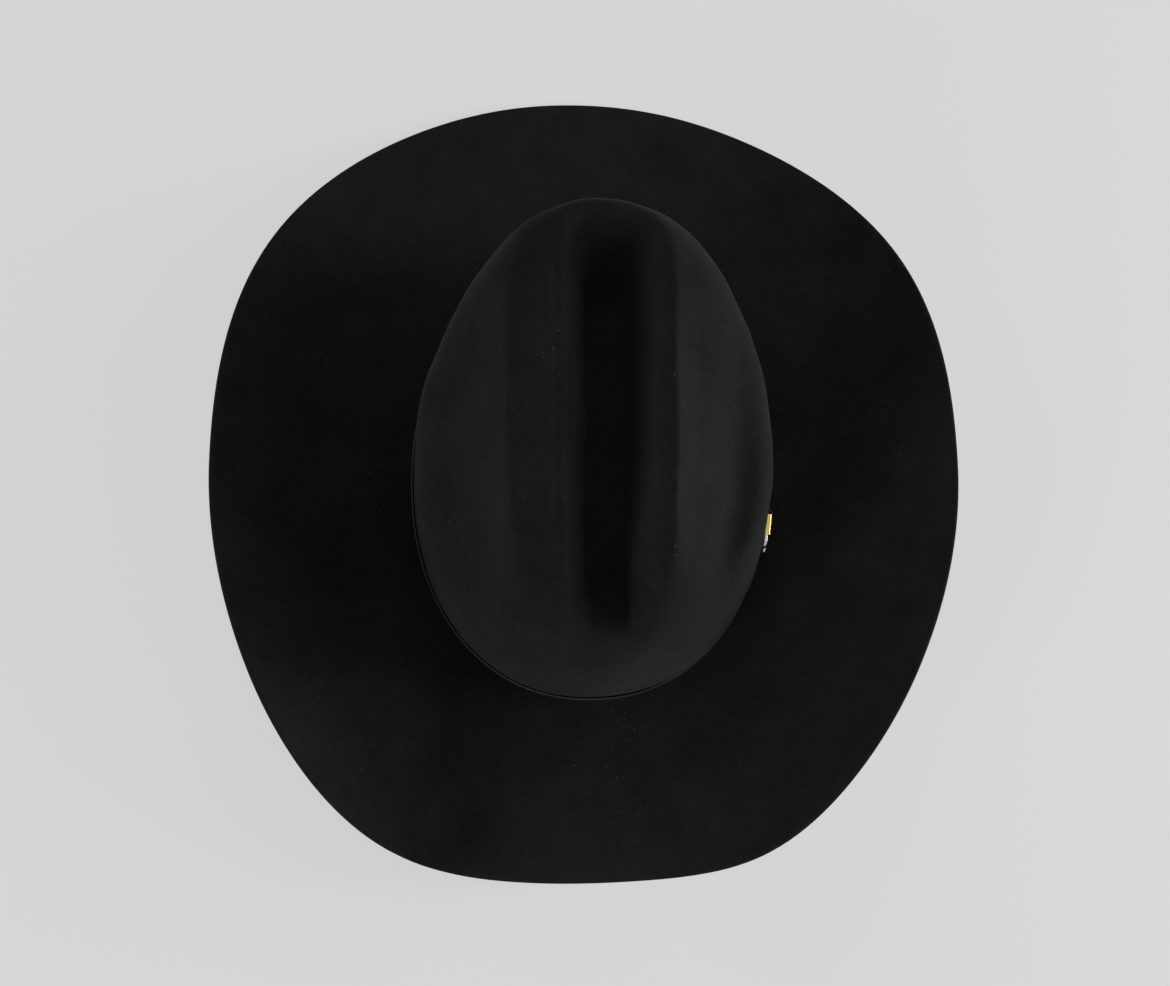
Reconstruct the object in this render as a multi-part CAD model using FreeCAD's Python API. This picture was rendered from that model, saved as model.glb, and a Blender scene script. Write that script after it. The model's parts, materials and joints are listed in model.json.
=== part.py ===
# A western felt hat, cattleman crease, with a rolled brim and a narrow buckled hat band.
#
# The hat is made as a hatter makes it. One felt body carries everything: an oval crown, blocked
# over the head and creased by hand, and a flat brim rolled up at the sides and dipped in front
# and behind. Inside are a leather sweatband on its reed and a sewn lining, and outside is a strap
# with a three piece buckle set.
#
# The model is in millimetres with +Z up. The wearer faces -Y, so +X is the wearer's left.
# It is worked out about the brim break, where the crown wall meets the brim and z is 0. At the
# end it is stood on a table: it rests on its front and back dips, with the origin on the table
# under the middle of the hat.

import FreeCAD, Part
import math
import os

Vector = FreeCAD.Vector

# ---- felt body ---------------------------------------------------------------------------
HEAD_LENGTH = 203.0          # head opening inside the felt, front to back
HEAD_WIDTH = 165.0           # the same, side to side
OVAL_POWER = 2.15            # 2 is an ellipse, more is squarer
FELT = 2.5                   # thickness of the felt
BREAK_RADIUS = 3.0           # outside radius where the wall turns into the brim

CROWN_HEIGHT = 114.0         # ridges above the break, at mid length
CROWN_SLOPE = 0.05           # how much higher the crown is behind, per mm of length
SIDE_FULLNESS = 3.2          # shoulders of the blocked crown, seen from in front
BACK_FULLNESS = 4.4          # the same from the side, behind
FRONT_FULLNESS = 5.5         # and in front
WALL_POWER = 2.4             # how upright the foot of the wall is
LEAN_START = 18.0            # the wall is plumb up to here, where the band goes round
LEAN_HEIGHT = 90.0           # height over which the crown leans back
CROWN_LEAN = 22.0            # how far it leans back over that height
BACK_FLARE = 14.0            # how much further the back of the crown leans
LEAN_CURVE = 1.5             # how gently the lean sets in

CREASE_DEPTH = 37.0          # centre crease, below the ridges
CREASE_OFFSET = 1.0          # its middle lies this far to the wearer's left
CREASE_FLOOR = 3.0           # half width of its flat floor
CREASE_FLOOR_RADIUS = 7.0
CREASE_RIDGE_RADIUS = 9.0
CREASE_WALL_ANGLE = 71.0     # of its walls, from level
CREASE_FRONT = (62.0, 104.0)  # in front of the middle: full depth up to, none beyond
CREASE_BACK = (48.0, 82.0)   # the same behind the middle

DENT_DEPTH = 30.0            # side dents, below the blocked crown
DENT_PLACE_LEFT = 58.0       # deepest line of the left dent, from the middle of the hat
DENT_PLACE_RIGHT = 64.0
DENT_INNER = 27.0            # from that line up to the ridge
DENT_OUTER = 24.0            # from that line out to the lower lip
DENT_DEEPEST = -38.0         # where along the hat the dents are deepest
DENT_FRONT = -88.0           # where they end in front
DENT_BACK = 88.0             # where they fade out behind
DENT_LOW = 24.0              # the wall is not dented below this height
DENT_HIGH = 74.0             # and fully above this one

BRIM_WIDTH = 101.6           # a four inch brim, along the felt
ROLL_START = 90.0            # the sides begin to roll this far from the middle line
ROLL_SOFTNESS = 25.0         # length over which the roll sets in
ROLL_RADIUS_LEFT = 87.0
ROLL_RADIUS_RIGHT = 102.5
ROLL_LIMIT = 115.0           # the brim turns up no further than this, degrees
ROLL_CURVE = 1.5             # how the roll changes towards the front and the back
ROLL_REACH = 200.0           # the values below are reached this far from mid length
ROLL_IN_FRONT = 82.0         # how much nearer the middle the roll starts in front
ROLL_IN_BACK = 19.0
ROLL_TIGHTER_FRONT_LEFT = 0.45    # how much tighter the roll is there
ROLL_TIGHTER_FRONT_RIGHT = 0.17
ROLL_TIGHTER_BACK = -0.52
DIP_START = 90.0             # front and back dips begin this far from mid length
DIP_RADIUS_FRONT = 182.0
DIP_RADIUS_BACK = 625.0
EDGE_ROUND = 1.1             # how far the cut edge of the brim bulges

# ---- sweatband and lining ----------------------------------------------------------------
GAP = 0.3                    # running clearance between soft pieces
LEATHER = 1.1                # sweatband leather
SWEATBAND_TOP = 40.0
REED_RADIUS = 0.7            # plastic reed in the lower edge of the sweatband
REED_Z = 0.6                 # its middle, above the brim break
REED_SIDES = 6
TAPE = 0.35                  # cloth tape round the reed
TAPE_TOP = 6.0
SNUG = 0.05                  # between the reed, its tape and the leather
LINING = 0.5                 # satin lining
LINING_BOTTOM = 31.0         # its lower edge is tucked behind the sweatband
LINING_SEAM = 64.0           # half width of the tip of the lining, where its side is sewn on
PIPING_RADIUS = 0.8          # cord in that seam
PIPING_SIDES = 6
SEAM_TAPE_WIDTH = 14.0       # tape behind the butt joint of the sweatband, at the back
SEAM_TAPE = 0.35
SEAM_SLIT = 0.8              # width of the butt joint
BOW_WIDTH = 20.0             # little ribbon bow on the butt joint
BOW_HEIGHT = 14.0            # of its middle, above the brim break
BOW_LOOP = 2.0               # thickness of its loops, out from the leather
BOW_TAIL = 9.0               # length of its tails
BOW_TAIL_SPREAD = 28.0       # they hang this far from upright, degrees
BOW_TURN = 6.0               # its loops turn in with the leather, degrees
RIBBON_WIDTH = 4.0
RIBBON = 0.45
KNOT_WIDTH = 3.2

# ---- hat band and buckle set -------------------------------------------------------------
STRAP_WIDTH = 12.0
STRAP = 1.0                  # thickness of the strap
STRAP_BOTTOM = 4.0           # lower edge of the strap above the brim break
BUCKLE_PLACE = -24.5         # middle of the buckle, along the hat, on the wearer's left
FRAME_LENGTH = 16.6
FRAME_BAR = 1.8              # thickness of the buckle frame
FRAME_LIFT = 2.6             # middle of the frame, out from the crown
FRAME_ROOM = 0.6             # beside the strap, above and below
FRAME_CORNER = 4.0
HINGE_PLACE = 6.2            # hinge bar, back from the middle of the frame
HINGE_RADIUS = 0.7
TRIM_LENGTH = 9.8            # raised trim on each rail of the frame
TRIM_RISE = 1.3
TRIM_LAP = 0.55              # its thickness over the outer edge of the rail
TRIM_SKIRT = 1.6             # how far it reaches down that edge
TRIM_INSET = 0.15            # from the inner edge of the rail
TRIM_SHOULDER = 0.5          # height of its inner side
PRONG_WIDTH = 2.0
PRONG = 1.0                  # thickness of the prong
PRONG_PLAY = 0.06            # round the hinge bar
PRONG_EYE = 0.8              # thickness of its loop
PRONG_REACH = 1.2            # beyond the end of the frame
PRONG_HOOK = 0.3             # its tip turns down behind the frame
SLOT_ROOM = 0.6              # beside the prong, in the strap
HOLE_FRONT = -2.6            # slotted hole in the strap that the prong comes through
HOLE_BACK = 5.7
FOLD_SLOT = 2.1              # the slot in the fold ends this far behind the hinge bar
LAP_GAP = 0.3                # between the two layers of the strap
FOLD_END = 12.4              # where the folded end of the strap stops, from the buckle middle
STRAP_SETTLE = 0.5           # the strap has levelled out this far inside what holds it
OVER_HINGE = 1.8             # and lies level this far either side of the hinge bar
KEEPER_PLACE = 16.6          # middle of the keeper, from the buckle middle
KEEPER_WIDTH = 4.4
KEEPER = 0.6                 # thickness of the keeper
KEEPER_ROOM = 0.2
KEEPER_TRAVEL = 1.4          # it slides this far either way
TIP_PLACE = 22.4             # where the metal tip starts
TIP_LENGTH = 10.0
TIP_COVER = 7.0              # length of strap inside it
TIP_CORNER = 4.0
TIP_WALL = 0.4
TIP_ROOM = 0.12

# ---- fineness of the formed surfaces -----------------------------------------------------
COLUMNS = 64                 # round the hat
CREASE_RINGS = 8             # from the floor of the crease to the ridges
DENT_RINGS = 8               # over the side dents
WALL_RINGS = 4               # down to the foot of the wall
BREAK_RINGS = 2
BRIM_RINGS = 7
RING_STRETCH = 0.3           # how long and narrow the crown's rings are along the crease
RING_POWER = 4.0             # and how square
ROLL_STEPS = 24              # straight steps that make up the roll of the brim
NUDGE = 0.004                # step between stations, where a slope is measured
TURN = 0.006                 # and step of angle

OVAL_A = HEAD_LENGTH / 2 + FELT      # half length of the crown, outside the felt
OVAL_B = HEAD_WIDTH / 2 + FELT       # half width
FLOOR_STATION = 1 - (1 - CREASE_FLOOR / OVAL_B) ** (1 / WALL_POWER)


# ---- small shaping functions -------------------------------------------------------------
def clamp(value, low=0.0, high=1.0):
    return max(low, min(high, value))


def ease(t):
    """0 to 1 with level ends and no jump in curvature."""
    t = clamp(t)
    return t * t * t * (10 - 15 * t + 6 * t * t)


def steps(low, high, count):
    """Evenly spaced values after low, up to high."""
    return [low + (high - low) * i / count for i in range(1, count + 1)]


def between(t, low, high):
    return low + (high - low) * t


def window(along, full, none):
    """1 as far as full, fading to 0 at none."""
    return 1 - ease((along - full) / (none - full))


# ---- ovals -------------------------------------------------------------------------------
def oval_ring(half_width, half_length, power, angle):
    """Point of an oval between an ellipse (power 2) and a rectangle."""
    cosine, sine = math.cos(angle), math.sin(angle)
    reach = (abs(cosine) ** power + abs(sine) ** power) ** (-1 / power)
    return Vector(half_width * cosine * reach, half_length * sine * reach, 0)


def oval_point(angle):
    """Foot of the crown wall, outside the felt."""
    return oval_ring(OVAL_B, OVAL_A, OVAL_POWER, angle)


def oval(angle, growth=0.0):
    """The same, moved outwards by growth."""
    run = oval_point(angle + TURN) - oval_point(angle - TURN)
    return oval_point(angle) + Vector(run.y, -run.x, 0).normalize() * growth


# ---- the crown ---------------------------------------------------------------------------
def crease_lines():
    """Distances from the middle of the crease: top of the floor arc, of the wall, and the ridge."""
    angle = math.radians(CREASE_WALL_ANGLE)
    wall_rise = CREASE_DEPTH - (CREASE_FLOOR_RADIUS + CREASE_RIDGE_RADIUS) * (1 - math.cos(angle))
    floor_arc = CREASE_FLOOR + CREASE_FLOOR_RADIUS * math.sin(angle)
    wall_top = floor_arc + wall_rise / math.tan(angle)
    return floor_arc, wall_top, wall_top + CREASE_RIDGE_RADIUS * math.sin(angle)


def crease_drop(x):
    """Depth of the centre crease across the hat: flat floor, arc, straight wall, arc."""
    angle = math.radians(CREASE_WALL_ANGLE)
    low, high = CREASE_FLOOR_RADIUS, CREASE_RIDGE_RADIUS
    floor_arc, wall_top, ridge = crease_lines()
    out = abs(x - CREASE_OFFSET)
    if out < CREASE_FLOOR:
        return CREASE_DEPTH
    if out < floor_arc:
        return CREASE_DEPTH - low + math.sqrt(low ** 2 - (out - CREASE_FLOOR) ** 2)
    if out < wall_top:
        return high * (1 - math.cos(angle)) + (wall_top - out) * math.tan(angle)
    if out < ridge:
        return high - math.sqrt(high ** 2 - (ridge - out) ** 2)
    return 0.0


def dent_drop(x, y):
    """Depth of a side dent; it follows the oval inwards towards the front and the back."""
    squeeze = (1 - clamp(abs(y) / OVAL_A, 0, 0.98) ** OVAL_POWER) ** (1 / OVAL_POWER)
    place = squeeze * (DENT_PLACE_LEFT if x > 0 else DENT_PLACE_RIGHT)
    outside = abs(x) > place
    reach = squeeze * (DENT_OUTER if outside else DENT_INNER)
    across = clamp(1 - ((abs(x) - place) / reach) ** 2) ** (3 if outside else 2)
    if y < DENT_DEEPEST:
        length = ease((y - DENT_FRONT) / (DENT_DEEPEST - DENT_FRONT))
    else:
        length = ease((DENT_BACK - y) / (DENT_BACK - DENT_DEEPEST))
    return DENT_DEPTH * across * length


def crown_plan(share, angle):
    """Ring of the crown seen from above: long and narrow along the crease, the oval at the wall."""
    wide = 1 - (1 - share) ** WALL_POWER
    floor = CREASE_FLOOR / OVAL_B
    if wide < floor:
        long = floor ** RING_STRETCH * wide / floor
    else:
        long = wide ** RING_STRETCH
    power = between(wide, RING_POWER, OVAL_POWER)
    return oval_ring(OVAL_B * wide, OVAL_A * long, power, angle)


def crown_point(share, angle):
    """Outer felt of the crown: share runs from 0 at the middle of the top to 1 at the break."""
    plan = crown_plan(share, angle)
    x, y = plan.x, plan.y
    across, along = abs(x / OVAL_B), abs(y / OVAL_A)
    out = (across ** OVAL_POWER + along ** OVAL_POWER) ** (1 / OVAL_POWER)
    ends = along ** 2 / (across ** 2 + along ** 2 + 1e-12)
    fullness = between(ends, SIDE_FULLNESS, BACK_FULLNESS if y > 0 else FRONT_FULLNESS)
    dome = max(0.0, 1 - out ** fullness) ** (1 / WALL_POWER)
    blocked = (CROWN_HEIGHT + CROWN_SLOPE * y) * dome
    lengthwise = window(y, *CREASE_BACK) if y > 0 else window(-y, *CREASE_FRONT)
    dented = ease((blocked - DENT_LOW) / (DENT_HIGH - DENT_LOW))
    z = BREAK_RADIUS + blocked - crease_drop(x) * lengthwise - dent_drop(x, y) * dented
    rise = max(0.0, (z - LEAN_START) / LEAN_HEIGHT) ** LEAN_CURVE
    lean = CROWN_LEAN + BACK_FLARE * max(0.0, y / OVAL_A) ** 2
    return Vector(x, y + lean * rise, z)


# ---- the brim ----------------------------------------------------------------------------
def rolled(x, y):
    """Where a point of the flat brim goes when the brim is rolled and dipped."""
    front = max(0.0, -y / ROLL_REACH) ** ROLL_CURVE
    back = max(0.0, y / ROLL_REACH) ** ROLL_CURVE
    start = ROLL_START - ROLL_IN_FRONT * front - ROLL_IN_BACK * back
    tighter = ROLL_TIGHTER_FRONT_LEFT if x > 0 else ROLL_TIGHTER_FRONT_RIGHT
    radius = ROLL_RADIUS_LEFT if x > 0 else ROLL_RADIUS_RIGHT
    bend = (1 + tighter * front + ROLL_TIGHTER_BACK * back) / radius

    def slope(out):
        past = out - start
        return bend * 0.5 * (past + math.hypot(past, ROLL_SOFTNESS))

    step = abs(x) / ROLL_STEPS
    level, across, up = slope(0.0), 0.0, 0.0
    for i in range(ROLL_STEPS):
        turn = min(slope((i + 0.5) * step) - level, math.radians(ROLL_LIMIT))
        across += step * math.cos(turn)
        up += step * math.sin(turn)

    dip = max(0.0, abs(y) - DIP_START)
    dip_radius = DIP_RADIUS_BACK if y > 0 else DIP_RADIUS_FRONT
    length = abs(y) - dip + dip_radius * math.sin(dip / dip_radius)
    down = dip_radius * (1 - math.cos(dip / dip_radius))
    return Vector(math.copysign(across, x), math.copysign(length, y), up - down)


def brim_point(out, angle):
    """Top of the brim, out mm from the wall; the break itself is kept level."""
    flat = oval(angle, out)
    foot = oval_point(angle)
    kept = (1 - out / BRIM_WIDTH) ** 2
    return rolled(flat.x, flat.y) - (rolled(foot.x, foot.y) - foot) * kept


def felt_point(station, angle):
    """Outer felt: stations 0 to 1 are the crown, 1 to 2 the break, 2 to 3 the brim."""
    if station <= 1:
        return crown_point(station, angle)
    if station <= 2:
        turn = (station - 1) * math.pi / 2
        out = BREAK_RADIUS * (1 - math.cos(turn))
        return brim_point(out, angle) + Vector(0, 0, BREAK_RADIUS * (1 - math.sin(turn)))
    return brim_point(between(station - 2, BREAK_RADIUS, BRIM_WIDTH), angle)


def felt_normal(station, angle):
    """Outward direction of the outer felt."""
    near, far = station - NUDGE, min(station + NUDGE, 3.0)
    radial = felt_point(far, angle) - felt_point(near, angle)
    round_it = felt_point(station, angle + TURN) - felt_point(station, angle - TURN)
    return radial.cross(round_it).normalize()


def felt_inside(station, angle, depth):
    """Point at a depth under the outer felt; the floor of the crease is flat."""
    if station > FLOOR_STATION:
        return felt_point(station, angle) - felt_normal(station, angle) * depth
    middle = crown_point(0, 0)
    plan = crown_plan(station, angle)
    tilt = Vector(0, -CROWN_SLOPE, 1).normalize()
    return middle + Vector(plan.x, plan.y, CROWN_SLOPE * plan.y) - tilt * depth


def wall_station(z, angle):
    """Station of the crown wall at a height above the break."""
    low, high = 0.45, 1.0
    for _ in range(40):
        middle = (low + high) / 2
        if crown_point(middle, angle).z > z:
            low = middle
        else:
            high = middle
    return (low + high) / 2


def wall_point(z, depth, angle):
    """Point at a height, a level depth inside the outer face of the crown wall."""
    def face(at):
        if z <= BREAK_RADIUS:
            return oval_point(at)
        point = crown_point(wall_station(z, at), at)
        return Vector(point.x, point.y, 0)
    run = face(angle + TURN) - face(angle - TURN)
    inwards = Vector(-run.y, run.x, 0).normalize()
    point = face(angle) + inwards * depth
    return Vector(point.x, point.y, z)


# ---- solids made of rings ----------------------------------------------------------------
ANGLES = [2 * math.pi * i / COLUMNS for i in range(COLUMNS)]


def ring_curve(points):
    """Closed smooth curve through the points of one ring."""
    curve = Part.BSplineCurve()
    curve.interpolate(Points=points, PeriodicFlag=True,
                      Parameters=[float(i) for i in range(len(points) + 1)])
    return curve


def strip(first, second):
    """Ruled face between two rings."""
    surface = Part.BSplineSurface()
    surface.buildFromPolesMultsKnots([first.getPoles(), second.getPoles()], [2, 2],
                                     first.getMultiplicities(), [0.0, 1.0],
                                     first.getKnots(), False, True, 1, 3)
    return surface.toShape()


def ringed(rings, capped=False):
    """Solid whose skin is ruled from ring to ring; its ends are flat faces, or it closes on itself."""
    curves = [ring_curve(ring) for ring in rings]
    faces = [strip(first, second) for first, second in zip(curves, curves[1:])]
    if capped:
        faces += [Part.Face(Part.Wire([curve.toShape()])) for curve in (curves[0], curves[-1])]
    else:
        faces.append(strip(curves[-1], curves[0]))
    shell = Part.Shell(faces)
    shell.sewShape()
    solid = Part.Solid(shell)
    if solid.Volume < 0:
        solid.reverse()
    return solid


def section_ring(section):
    """Ring of constant section round the inside of the crown, given as (depth, z) corners."""
    return ringed([[wall_point(z, depth, a) for a in ANGLES] for depth, z in section])


# ---- felt body ---------------------------------------------------------------------------
def crown_stations():
    """Stations of the crown's rings, closer together where the creases bend."""
    ridge = crease_lines()[2]
    lip = (DENT_PLACE_LEFT + DENT_PLACE_RIGHT) / 2 + DENT_OUTER / 2
    widths = steps(CREASE_FLOOR, ridge, CREASE_RINGS) + steps(ridge, lip, DENT_RINGS)
    stations = [1 - (1 - width / OVAL_B) ** (1 / WALL_POWER) for width in widths]
    return [FLOOR_STATION] + stations + steps(stations[-1], 1, WALL_RINGS)


def brim_edge(angle, share):
    """Point on the cut edge of the brim, which bulges a little."""
    outwards = (felt_point(3, angle) - felt_point(3 - NUDGE, angle)).normalize()
    return felt_inside(3, angle, FELT * share) + outwards * EDGE_ROUND


def make_felt_body():
    """Crown and brim, one piece of felt of even thickness with a rounded cut edge."""
    stations = crown_stations() + steps(1, 2, BREAK_RINGS) + steps(2, 3, BRIM_RINGS)
    outer = [[felt_inside(station, a, 0) for a in ANGLES] for station in stations]
    edge = [[brim_edge(a, share) for a in ANGLES] for share in (0.25, 0.75)]
    inner = [[felt_inside(station, a, FELT) for a in ANGLES] for station in stations]
    return ringed(outer + edge + inner[::-1], capped=True)


# ---- sweatband ---------------------------------------------------------------------------
def leather_depth(z):
    """Outer face of the sweatband, inside the outer felt: it leans in to leave the lining room."""
    foot = FELT + GAP + TAPE + 2 * SNUG
    lean = 2 * GAP + LINING + SNUG
    return foot + lean * ease((z - TAPE_TOP) / (LINING_BOTTOM - TAPE_TOP))


REED_DEPTH = leather_depth(0) + LEATHER / 2
LEATHER_BOTTOM = REED_Z + REED_RADIUS + SNUG


def make_sweatband():
    """Leather strip round the inside, its ends meeting in a butt joint at the back."""
    heights = [LEATHER_BOTTOM] + [TAPE_TOP] + steps(TAPE_TOP, LINING_BOTTOM, 2) + [SWEATBAND_TOP]
    outer = [(leather_depth(z), z) for z in heights]
    inner = [(leather_depth(z) + LEATHER, z) for z in reversed(heights)]
    band = section_ring(outer + inner)
    slit = Part.makeBox(SEAM_SLIT, HEAD_LENGTH, 2 * SWEATBAND_TOP)
    slit.translate(Vector(-SEAM_SLIT / 2, 0, -SWEATBAND_TOP / 2))
    return band.cut(slit)


def arc_section(radius, turns):
    """(depth, z) corners about the reed, at turns in degrees from outwards."""
    return [(REED_DEPTH - radius * math.cos(math.radians(turn)),
             REED_Z + radius * math.sin(math.radians(turn))) for turn in turns]


def make_sweatband_reed():
    return section_ring(arc_section(REED_RADIUS, steps(0, 360, REED_SIDES)))


def make_reed_tape():
    """Cloth tape folded round the reed, its two flanges gripping the foot of the leather."""
    under = [0] + steps(0, -180, 4)
    inner = (REED_RADIUS + SNUG) / math.cos(math.radians(under[1] / 2))
    outer = inner + TAPE
    section = [(REED_DEPTH - outer, TAPE_TOP)] + arc_section(outer, under)
    section += [(REED_DEPTH + outer, TAPE_TOP), (REED_DEPTH + inner, TAPE_TOP)]
    section += arc_section(inner, under[::-1]) + [(REED_DEPTH - inner, TAPE_TOP)]
    return section_ring(section)


def back_face(depth, z):
    """Point in the middle of the back, inside the outer felt."""
    return wall_point(z, depth, math.pi / 2)


def make_sweatband_seam():
    """Tape behind the butt joint, between the felt and the leather."""
    low, high = TAPE_TOP + GAP, LINING_BOTTOM - GAP
    rows = []
    for z in (low, high):
        depth = leather_depth(z) - SNUG
        half = SEAM_TAPE_WIDTH / 2
        near = back_face(depth, z)
        drop = near.y - wall_point(z, depth, math.pi / 2 - math.asin(half / OVAL_B)).y
        rows.append((near, drop, half))
    profiles = []
    for near, drop, half in rows:
        arc = Part.Arc(near + Vector(-half, -drop, 0), near, near + Vector(half, -drop, 0))
        back = Part.Arc(near + Vector(half, SEAM_TAPE - drop, 0), near + Vector(0, SEAM_TAPE, 0),
                        near + Vector(-half, SEAM_TAPE - drop, 0))
        ends = [Part.LineSegment(arc.EndPoint, back.StartPoint),
                Part.LineSegment(back.EndPoint, arc.StartPoint)]
        profiles.append(Part.Wire([c.toShape() for c in (arc, ends[0], back, ends[1])]))
    return Part.makeLoft(profiles, True, True)


# ---- lining ------------------------------------------------------------------------------
LINING_OUTSIDE = FELT + GAP
LINING_INSIDE = LINING_OUTSIDE + LINING
SEAM_STATION = 1 - (1 - LINING_SEAM / OVAL_B) ** (1 / WALL_POWER)


def seam_point(angle, depth, along):
    """Point near the seam of the lining, moved down the crown by along."""
    near = felt_inside(SEAM_STATION - NUDGE, angle, depth)
    far = felt_inside(SEAM_STATION + NUDGE, angle, depth)
    return felt_inside(SEAM_STATION, angle, depth) + (far - near).normalize() * along


def seam_ring(depth, along):
    return [seam_point(a, depth, along) for a in ANGLES]


def lining_ring(station, depth):
    return [felt_inside(station, a, depth) for a in ANGLES]


def make_lining_tip():
    """Top of the lining, following the creases."""
    stations = [station for station in crown_stations() if station < SEAM_STATION - 4 * NUDGE]
    outer = [lining_ring(station, LINING_OUTSIDE) for station in stations]
    inner = [lining_ring(station, LINING_INSIDE) for station in reversed(stations)]
    edge = [seam_ring(LINING_OUTSIDE, -SNUG), seam_ring(LINING_INSIDE, -SNUG)]
    return ringed(outer + edge + inner, capped=True)


def make_lining_side():
    """Side of the lining, from its seam down behind the sweatband."""
    end = min(wall_station(LINING_BOTTOM, a) for a in ANGLES)
    middle = [s for s in crown_stations() if SEAM_STATION + 4 * NUDGE < s < end - 4 * NUDGE]
    outer, inner = [], []
    for rings, depth in ((outer, LINING_OUTSIDE), (inner, LINING_INSIDE)):
        rings.append(seam_ring(depth, SNUG))
        rings += [lining_ring(station, depth) for station in middle]
        rings.append([felt_inside(wall_station(LINING_BOTTOM, a), a, depth) for a in ANGLES])
    return ringed(outer + inner[::-1])


def make_lining_piping():
    """Cord sewn into the seam of the lining, on the side of the head."""
    depth = LINING_INSIDE + SNUG + PIPING_RADIUS
    rings = []
    for turn in steps(0, 2 * math.pi, PIPING_SIDES):
        rings.append(seam_ring(depth - PIPING_RADIUS * math.cos(turn),
                               PIPING_RADIUS * math.sin(turn)))
    return ringed(rings)


# ---- bow at the back of the sweatband ----------------------------------------------------
def bow_loop(side):
    """Flattened loop of ribbon from the knot outwards, turned a little to follow the leather."""
    end = BOW_WIDTH / 2 - BOW_LOOP / 2
    faces = []
    for inset in (0, RIBBON):
        round_end, pinch = BOW_LOOP / 2 - inset, BOW_LOOP / 4 - inset / 4
        start = inset * 2
        a, b = Vector(start, -pinch, 0), Vector(end, -round_end, 0)
        c, d = Vector(end, round_end, 0), Vector(start, pinch, 0)
        edges = [Part.LineSegment(a, b), Part.Arc(b, Vector(end + round_end, 0, 0), c),
                 Part.LineSegment(c, d), Part.LineSegment(d, a)]
        faces.append(Part.Face(Part.Wire([edge.toShape() for edge in edges])))
    ribbon = faces[0].cut(faces[1]).Faces[0].extrude(Vector(0, 0, RIBBON_WIDTH))
    ribbon.rotate(Vector(0, 0, 0), Vector(0, 0, 1), -BOW_TURN)
    if side < 0:
        ribbon = ribbon.mirror(Vector(0, 0, 0), Vector(1, 0, 0))
    return ribbon


def bow_tail(side):
    tail = Part.makeBox(RIBBON_WIDTH, RIBBON, BOW_TAIL)
    tail.translate(Vector(-RIBBON_WIDTH / 2, -BOW_LOOP / 2, -BOW_TAIL))
    tail.rotate(Vector(0, 0, 0), Vector(0, 1, 0), BOW_TAIL_SPREAD * side)
    return tail


def make_sweatband_bow():
    """Bow with two loops, two tails and its knot, lying on the leather at the back."""
    knot = Part.makeBox(KNOT_WIDTH, BOW_LOOP, RIBBON_WIDTH + 2 * RIBBON)
    knot.translate(Vector(-KNOT_WIDTH / 2, -BOW_LOOP / 2, -RIBBON))
    knot = knot.makeFillet(BOW_LOOP / 4, knot.Edges)
    pieces = [bow_loop(1), bow_loop(-1)]
    for side in (1, -1):
        tail = bow_tail(side)
        tail.translate(Vector(0, 0, RIBBON_WIDTH / 2))
        pieces.append(tail)
    bow = knot.fuse(pieces)
    depth = leather_depth(BOW_HEIGHT) + LEATHER + GAP + BOW_LOOP / 2
    place = back_face(depth, BOW_HEIGHT)
    bow.translate(place + Vector(0, 0, -RIBBON_WIDTH / 2))
    return bow


# ---- places along the crown wall, for the strap and its buckle -----------------------------
def wall_table():
    """Points round the oval with their distance from the middle of the buckle."""
    start = math.asin(BUCKLE_PLACE / OVAL_A)
    for _ in range(20):
        start -= (oval_point(start).y - BUCKLE_PLACE) / OVAL_A
    count = 1440
    table = [(0.0, oval_point(start))]
    for i in range(1, count + 1):
        point = oval_point(start + 2 * math.pi * i / count)
        table.append((table[-1][0] + (point - table[-1][1]).Length, point))
    return table


WALL = wall_table()
GIRTH = WALL[-1][0]
STRAP_MIDDLE = STRAP_BOTTOM + STRAP_WIDTH / 2


def wall_place(along):
    """Point on the wall at a distance along it from the buckle, its run and its way out."""
    along = along % GIRTH
    spacing = GIRTH / (len(WALL) - 1)
    i = max(1, min(len(WALL) - 1, int(along / spacing)))
    while i > 1 and WALL[i - 1][0] > along:
        i -= 1
    while i < len(WALL) - 1 and WALL[i][0] < along:
        i += 1
    (before, first), (after, second) = WALL[i - 1], WALL[i]
    run = (second - first).normalize()
    point = first + (second - first) * ((along - before) / (after - before))
    return point, run, Vector(run.y, -run.x, 0)


def wall_frame(along):
    """Placement with X back along the strap, Y up and Z out from the crown."""
    point, run, out = wall_place(along)
    rows = FreeCAD.Matrix(run.x, 0, out.x, point.x,
                          run.y, 0, out.y, point.y,
                          0, 1, 0, STRAP_MIDDLE,
                          0, 0, 0, 1)
    return FreeCAD.Placement(rows)


def placed(shape, along):
    shape.Placement = wall_frame(along).multiply(shape.Placement)
    return shape


# ---- hat band ----------------------------------------------------------------------------
# A strap goes round the crown from its folded end, on the hinge bar of the buckle, back to the
# buckle, through the frame and on over its own start to the metal tip.
FOLD_RADIUS = HINGE_RADIUS + PRONG_PLAY + STRAP / 2
STRAP_BASE = GAP + STRAP / 2
KEPT_BASE = GAP + KEEPER + KEEPER_ROOM + STRAP / 2
LAP = STRAP + LAP_GAP
FRAME_END = FRAME_LENGTH / 2
TIP_LIFT = KEPT_BASE + STRAP + TIP_WALL + TIP_ROOM + KEEPER_ROOM
TIP_END = TIP_PLACE + TIP_COVER


def eased(stops, at):
    """Height at a place, easing from stop to stop."""
    for (start, low), (end, high) in zip(stops, stops[1:]):
        if at <= end:
            return between(ease((at - start) / (end - start)), low, high)
    return stops[-1][1]


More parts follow.
